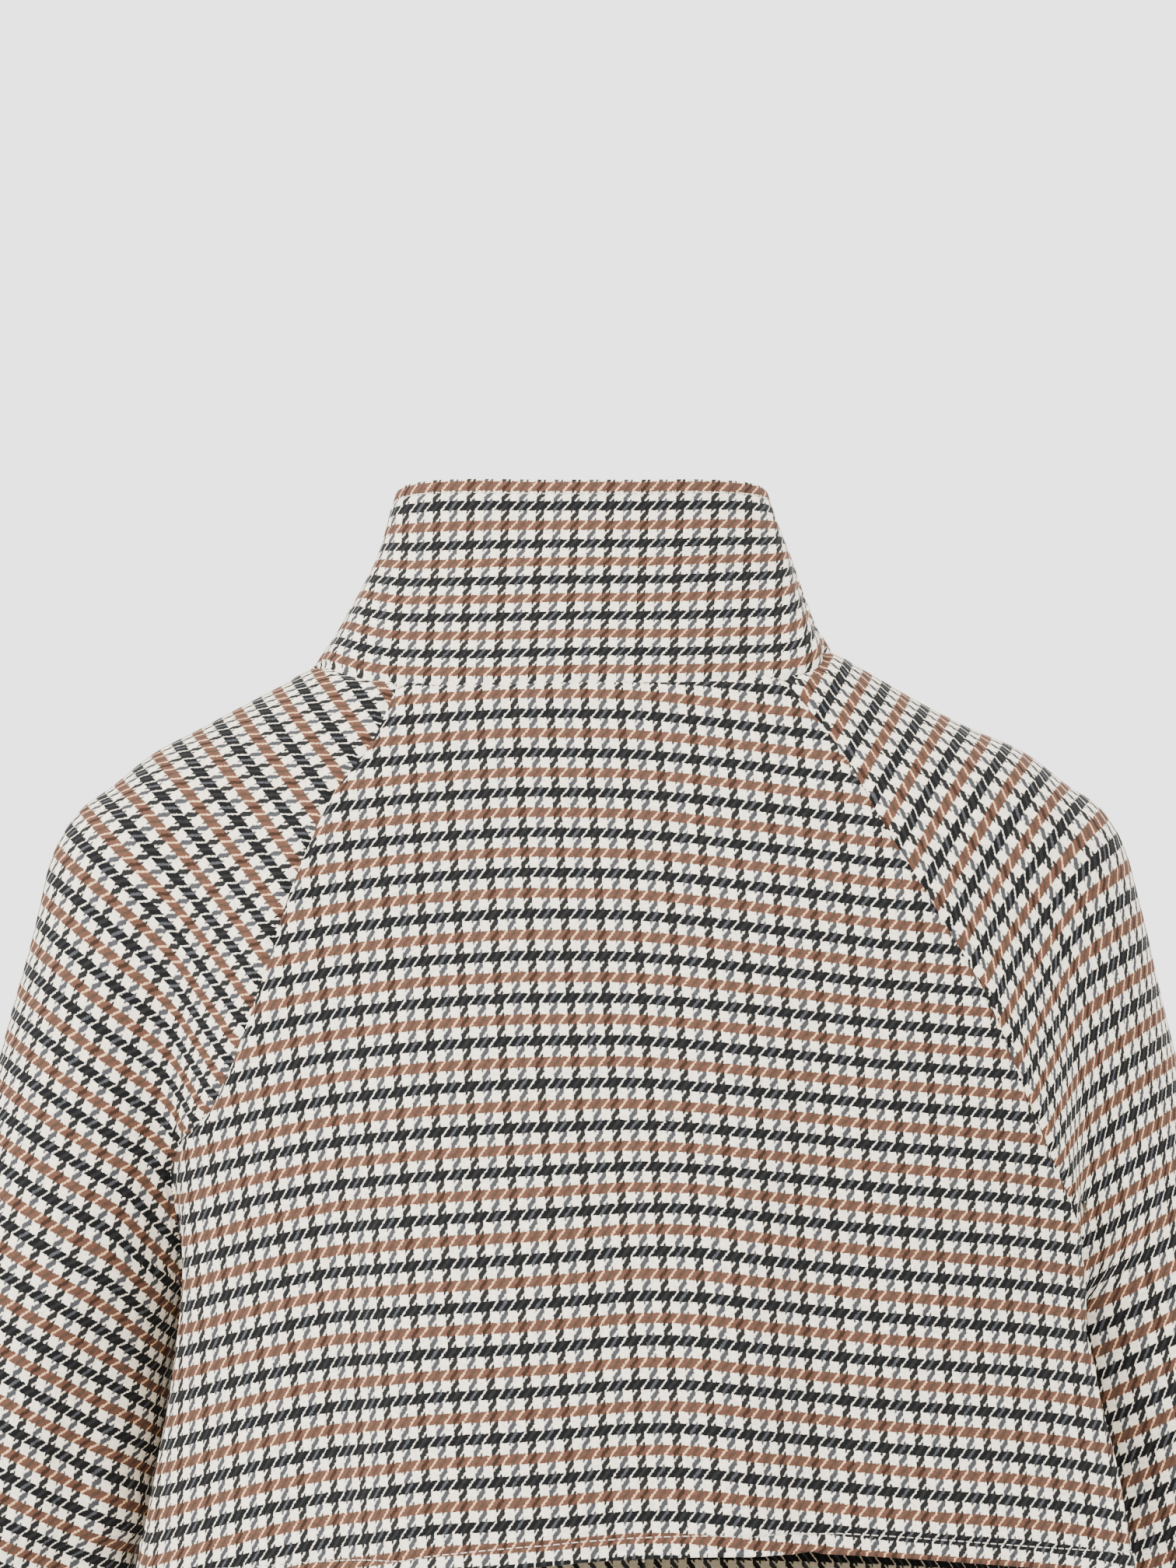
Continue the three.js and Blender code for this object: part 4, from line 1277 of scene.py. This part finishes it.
def collar_panel():
    end = math.degrees(COLLAR_END / 70)
    angles = np.linspace(-90 + end, 270 - end, COLLAR_COLUMNS + 1)
    rise = np.linspace(0, 1, COLLAR_ROWS + 1)
    rise = rise - 0.5 * np.sin(2 * np.pi * rise) / (2 * np.pi)
    grid_angle, share = np.meshgrid(angles, rise[::-1])
    points = collar_point(grid_angle, share)
    normals = collar_normal(grid_angle, share)
    down = lengths_along(points, 0)
    from_seam = down[-1:] - down
    middle = int(np.argmin(np.abs(angles - 90)))
    # Behind, the columns run straight up and keep most of their width from behind
    piece = np.linalg.norm(np.diff(points, axis=1), axis=-1)
    seen = -np.diff(points[..., 0], axis=1)
    step = mix(piece, seen, SIDE_EASE * smooth(normals[:, 1:, 1], 0, 0.5))
    across = np.concatenate([np.zeros((len(points), 1)), np.cumsum(step, 1)], 1)
    across = across - across[:, middle : middle + 1]
    # The rows lie a little closer below the first ones
    fall = (1 - share) * down[-1, middle]
    fall = fall + COLLAR_ROWS_CLOSER["share"] * np.maximum(fall - COLLAR_ROWS_CLOSER["below"], 0)
    grain = np.stack(
        [
            across + 7 + WARP_PHASE * WARP_REPEAT,
            12.4 - fall + 2 / THREADS * WEFT_REPEAT,
        ],
        -1,
    )
    relief = seam_relief(from_seam) + stitch_relief(down, COLLAR_STITCH)
    for fullness in COLLAR_FULLNESS:
        sideways = smooth(fullness["side"] * points[..., 0], 15, 75)
        relief += fullness["out"] * sideways * smooth(share, fullness["from"], fullness["to"])
    walls = mix(normals, neck_wall(angles)[None], (1 - smooth(from_seam, 0, 9))[..., None])
    made["collar_rim"] = hem_stitches(points, normals, relief, down, COLLAR_STITCH)
    finish_panel("collar", points + normals * relief[..., None], walls, grain)


back_panel()
front_panel(1)
front_panel(-1)
sleeve_panel(1)
sleeve_panel(-1)
collar_panel()


# Stitching: short thread lengths that lie in the stitched grooves
def plain(name, colour, roughness, specular=0.3):
    s = Shader(name)
    tone = s.noise(s.tree.nodes.new("ShaderNodeTexCoord").outputs["Object"], 900.0)
    darker = tuple(0.75 * c for c in colour)
    s.put(
        s.principled.inputs["Base Color"],
        s.blend(s.range(tone.outputs[0], 0.3, 0.7), (*darker, 1), (*colour, 1)),
    )
    s.principled.inputs["Roughness"].default_value = roughness
    s.principled.inputs["Specular IOR Level"].default_value = specular
    return s.material


STITCH = {"length": 3.0, "pitch": 3.9, "radius": 0.28, "lift": 0.22, "sides": 6}


def plain_mesh(name, vertices, faces, material):
    mesh = bpy.data.meshes.new(name)
    mesh.from_pydata([tuple(v) for v in np.asarray(vertices) * MM], [], faces)
    mesh.polygons.foreach_set("use_smooth", [True] * len(mesh.polygons))
    mesh.materials.append(material)
    mesh.update()
    obj = bpy.data.objects.new(name, mesh)
    bpy.context.scene.collection.objects.link(obj)
    return obj


def stitches(lines):
    vertices = []
    faces = []
    sides = STITCH["sides"]
    stations = ((-0.5, 0.35), (-0.42, 0.9), (0, 1.0), (0.42, 0.9), (0.5, 0.35))
    for line in lines:
        p, n = line[:, :3], unit(line[:, 3:])
        run = np.concatenate([[0], np.cumsum(np.linalg.norm(np.diff(p, axis=0), axis=1))])
        count = int(run[-1] / STITCH["pitch"])
        for k in range(count):
            centre = (k + 0.5) * STITCH["pitch"]
            first = len(vertices)
            for offset, swell in stations:
                at = centre + offset * STITCH["length"]
                here = np.array([np.interp(at, run, p[:, i]) for i in range(3)])
                ahead = np.array([np.interp(at + 0.5, run, p[:, i]) for i in range(3)])
                up = unit(np.array([np.interp(at, run, n[:, i]) for i in range(3)]))
                along = unit(ahead - here)
                aside = np.cross(along, up)
                bow = STITCH["lift"] * (1 - (2 * offset) ** 2)
                here = here + up * bow
                for side in range(sides):
                    t = 2 * math.pi * side / sides
                    ring = aside * math.cos(t) + up * math.sin(t)
                    vertices.append(here + ring * STITCH["radius"] * swell)
            for ring in range(len(stations) - 1):
                for side in range(sides):
                    a = first + ring * sides + side
                    b = first + ring * sides + (side + 1) % sides
                    faces.append((a, b, b + sides, a + sides))
            faces.append(tuple(first + s for s in reversed(range(sides))))
            top = first + (len(stations) - 1) * sides
            faces.append(tuple(top + s for s in range(sides)))
    return vertices, faces


thread = plain("thread", (0.62, 0.57, 0.50), 0.8)
stitch_lines = [
    made[name]
    for name in (
        "back_hem",
        "front_left_hem",
        "front_right_hem",
        "front_left_edge",
        "front_right_edge",
        "cuff_left",
        "cuff_right",
        "collar_rim",
    )
]
stitching = plain_mesh("stitching", *stitches(stitch_lines), thread)
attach(stitching, "root")


# Buttons with a raised rim, four holes and a cross of thread, on worked buttonholes
def horn():
    s = Shader("horn_button")
    place = s.tree.nodes.new("ShaderNodeTexCoord").outputs["Object"]
    streak = s.noise(s.stretched(place, (60.0, 60.0, 260.0)), 3.0, 4.0)
    s.put(
        s.principled.inputs["Base Color"],
        s.blend(s.range(streak.outputs[0], 0.3, 0.7), (0.008, 0.006, 0.005, 1), (0.034, 0.022, 0.017, 1)),
    )
    s.principled.inputs["Roughness"].default_value = 0.36
    s.principled.inputs["Specular IOR Level"].default_value = 0.22
    return s.material


def frame_of(n):
    side = unit(np.cross(np.array([0, 0, 1.0]), n))
    return side, np.cross(n, side)


def button_mesh(name, centre, n, material):
    side, up = frame_of(n)
    radius = BUTTON["radius"]
    thick = BUTTON["thick"]
    hole_ring = 2.3
    hole = 0.95
    profile = [
        (0, 0),
        (radius - 1.2, 0),
        (radius - 0.3, 0.5),
        (radius, 1.3),
        (radius - 0.05, thick - 1.2),
        (radius - 0.5, thick - 0.4),
        (radius - 1.3, thick),
        (radius - 2.2, thick - 0.25),
        (radius - 3.2, thick - 1.0),
        (radius - 4.2, thick - 1.25),
        (0, thick - 1.3),
    ]
    sides = 64
    vertices = []
    faces = []
    for r, h in profile[1:-1]:
        for k in range(sides):
            t = 2 * math.pi * k / sides
            vertices.append(centre + side * r * math.cos(t) + up * r * math.sin(t) + n * h)
    rings = len(profile) - 2
    for i in range(rings - 1):
        for k in range(sides):
            a = i * sides + k
            b = i * sides + (k + 1) % sides
            faces.append((a, b, b + sides, a + sides))
    faces.append(tuple(reversed(range(sides))))
    top = (rings - 1) * sides
    faces.append(tuple(top + k for k in range(sides)))
    obj = plain_mesh(name, vertices, faces, material)
    cutters = []
    for k in range(4):
        t = math.pi / 4 + k * math.pi / 2
        place = centre + (side * math.cos(t) + up * math.sin(t)) * hole_ring + n * (thick / 2)
        bpy.ops.mesh.primitive_cylinder_add(
            vertices=20, radius=hole * MM, depth=3 * thick * MM, location=Vector(place * MM)
        )
        cutter = bpy.context.object
        cutter.rotation_mode = "QUATERNION"
        cutter.rotation_quaternion = Vector(n).to_track_quat("Z", "Y")
        cutters.append(cutter)
    bpy.context.view_layer.update()
    for cutter in cutters:
        cut = obj.modifiers.new("hole", "BOOLEAN")
        cut.operation = "DIFFERENCE"
        cut.solver = "EXACT"
        cut.object = cutter
    graph = bpy.context.evaluated_depsgraph_get()
    solid = bpy.data.meshes.new_from_object(obj.evaluated_get(graph))
    obj.modifiers.clear()
    obj.data = solid
    for cutter in cutters:
        bpy.data.objects.remove(cutter)
    solid.polygons.foreach_set("use_smooth", [True] * len(solid.polygons))
    solid.set_sharp_from_angle(angle=math.radians(38))
    return obj


def tube(points, radius, sides=8, closed=False):
    """Vertices and faces of a round thread through the points."""
    p = np.asarray(points, float)
    count = len(p)
    if closed:
        tangent = unit(np.roll(p, -1, 0) - np.roll(p, 1, 0))
    else:
        tangent = unit(np.gradient(p, axis=0))
    vertices = []
    up = np.array([0.13, 0.31, 0.94])
    for q, t in zip(p, tangent):
        a = unit(np.cross(t, up))
        b = np.cross(t, a)
        for k in range(sides):
            angle = 2 * math.pi * k / sides
            vertices.append(q + (a * math.cos(angle) + b * math.sin(angle)) * radius)
    faces = []
    for i in range(count if closed else count - 1):
        j = (i + 1) % count
        for k in range(sides):
            m = (k + 1) % sides
            faces.append((i * sides + k, i * sides + m, j * sides + m, j * sides + k))
    if not closed:
        faces.append(tuple(reversed(range(sides))))
        faces.append(tuple((count - 1) * sides + k for k in range(sides)))
    return vertices, faces


def joined(parts):
    vertices = []
    faces = []
    for v, f in parts:
        first = len(vertices)
        vertices.extend(v)
        faces.extend(tuple(i + first for i in face) for face in f)
    return vertices, faces


horn_material = horn()
dark_thread = plain("buttonhole_thread", (0.075, 0.06, 0.05), 0.7)
for number in range(BUTTON["count"]):
    z = float(BUTTON["top"] - number * BUTTON["step"])
    seat = front_edge(torso_field, 0.0, np.array([z]))
    n = normal_at(torso_field, seat)[0]
    centre = seat[0] + n * (BUTTON["seat"] + 0.4)
    node = f"button_{number + 1}"
    button = button_mesh("horn_" + node, centre, n, horn_material)
    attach(button, "root")
    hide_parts(node)
    side, up = frame_of(n)
    parts = []
    for a, b in ((0, 2), (1, 3)):
        ends = []
        for k in (a, b):
            t = math.pi / 4 + k * math.pi / 2
            ends.append((side * math.cos(t) + up * math.sin(t)) * 2.3)
        lift = 0.15 if a else 0.0
        line = [
            centre + mix(ends[0], ends[1], s) + n * (BUTTON["thick"] - 1.6 + lift + 1.0 * math.sin(math.pi * s) ** 0.5)
            for s in np.linspace(0, 1, 9)
        ]
        parts.append(tube(line, 0.42))
    slit = []
    for k in range(40):
        t = 2 * math.pi * k / 40
        reach = 10.5 * math.copysign(abs(math.cos(t)) ** 0.6, math.cos(t)) - 6.0
        q = seat[0] + side * reach + up * 1.1 * math.sin(t)
        landed = front_edge(torso_field, float(q[0]), np.array([q[2]]))[0]
        slit.append(landed + n * 0.35)
    parts.append(tube(slit, 0.55, 6, True))
    knot = plain_mesh(f"buttonhole_{number + 1}", *joined(parts), dark_thread)
    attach(knot, "root")

# Stage, light and camera
bpy.ops.mesh.primitive_circle_add(vertices=128, radius=1.45, fill_type="NGON", location=(0, 0, -0.64))
floor = bpy.context.object
floor.name = "floor"
floor.data.materials.append(plain("floor_paint", (0.86, 0.86, 0.86), 0.9))

world = bpy.data.worlds.new("studio")
bpy.context.scene.world = world
world.use_nodes = True
background = world.node_tree.nodes["Background"]
background.inputs["Color"].default_value = (1, 1, 1, 1)
background.inputs["Strength"].default_value = 3.0


def soft_light(name, place, target, size, power):
    data = bpy.data.lights.new(name, "AREA")
    data.shape = "DISK"
    data.size = size
    data.energy = power
    light = bpy.data.objects.new(name, data)
    light.location = place
    away = Vector(target) - Vector(place)
    light.rotation_mode = "QUATERNION"
    light.rotation_quaternion = away.to_track_quat("-Z", "Y")
    bpy.context.scene.collection.objects.link(light)


soft_light("key", (1.9, 2.0, 1.5), (0, 0, -0.2), 1.3, 120)
soft_light("front_fill", (-1.2, -2.4, 1.0), (0, 0, -0.2), 1.6, 60)

camera_data = bpy.data.cameras.new("camera")
camera_data.lens = 183.4
camera_data.sensor_width = 36
camera = bpy.data.objects.new("camera", camera_data)
camera.location = (0, 3.5, -0.0445)
camera.rotation_euler = (math.radians(90), 0, math.radians(180))
bpy.context.scene.collection.objects.link(camera)
bpy.context.scene.camera = camera
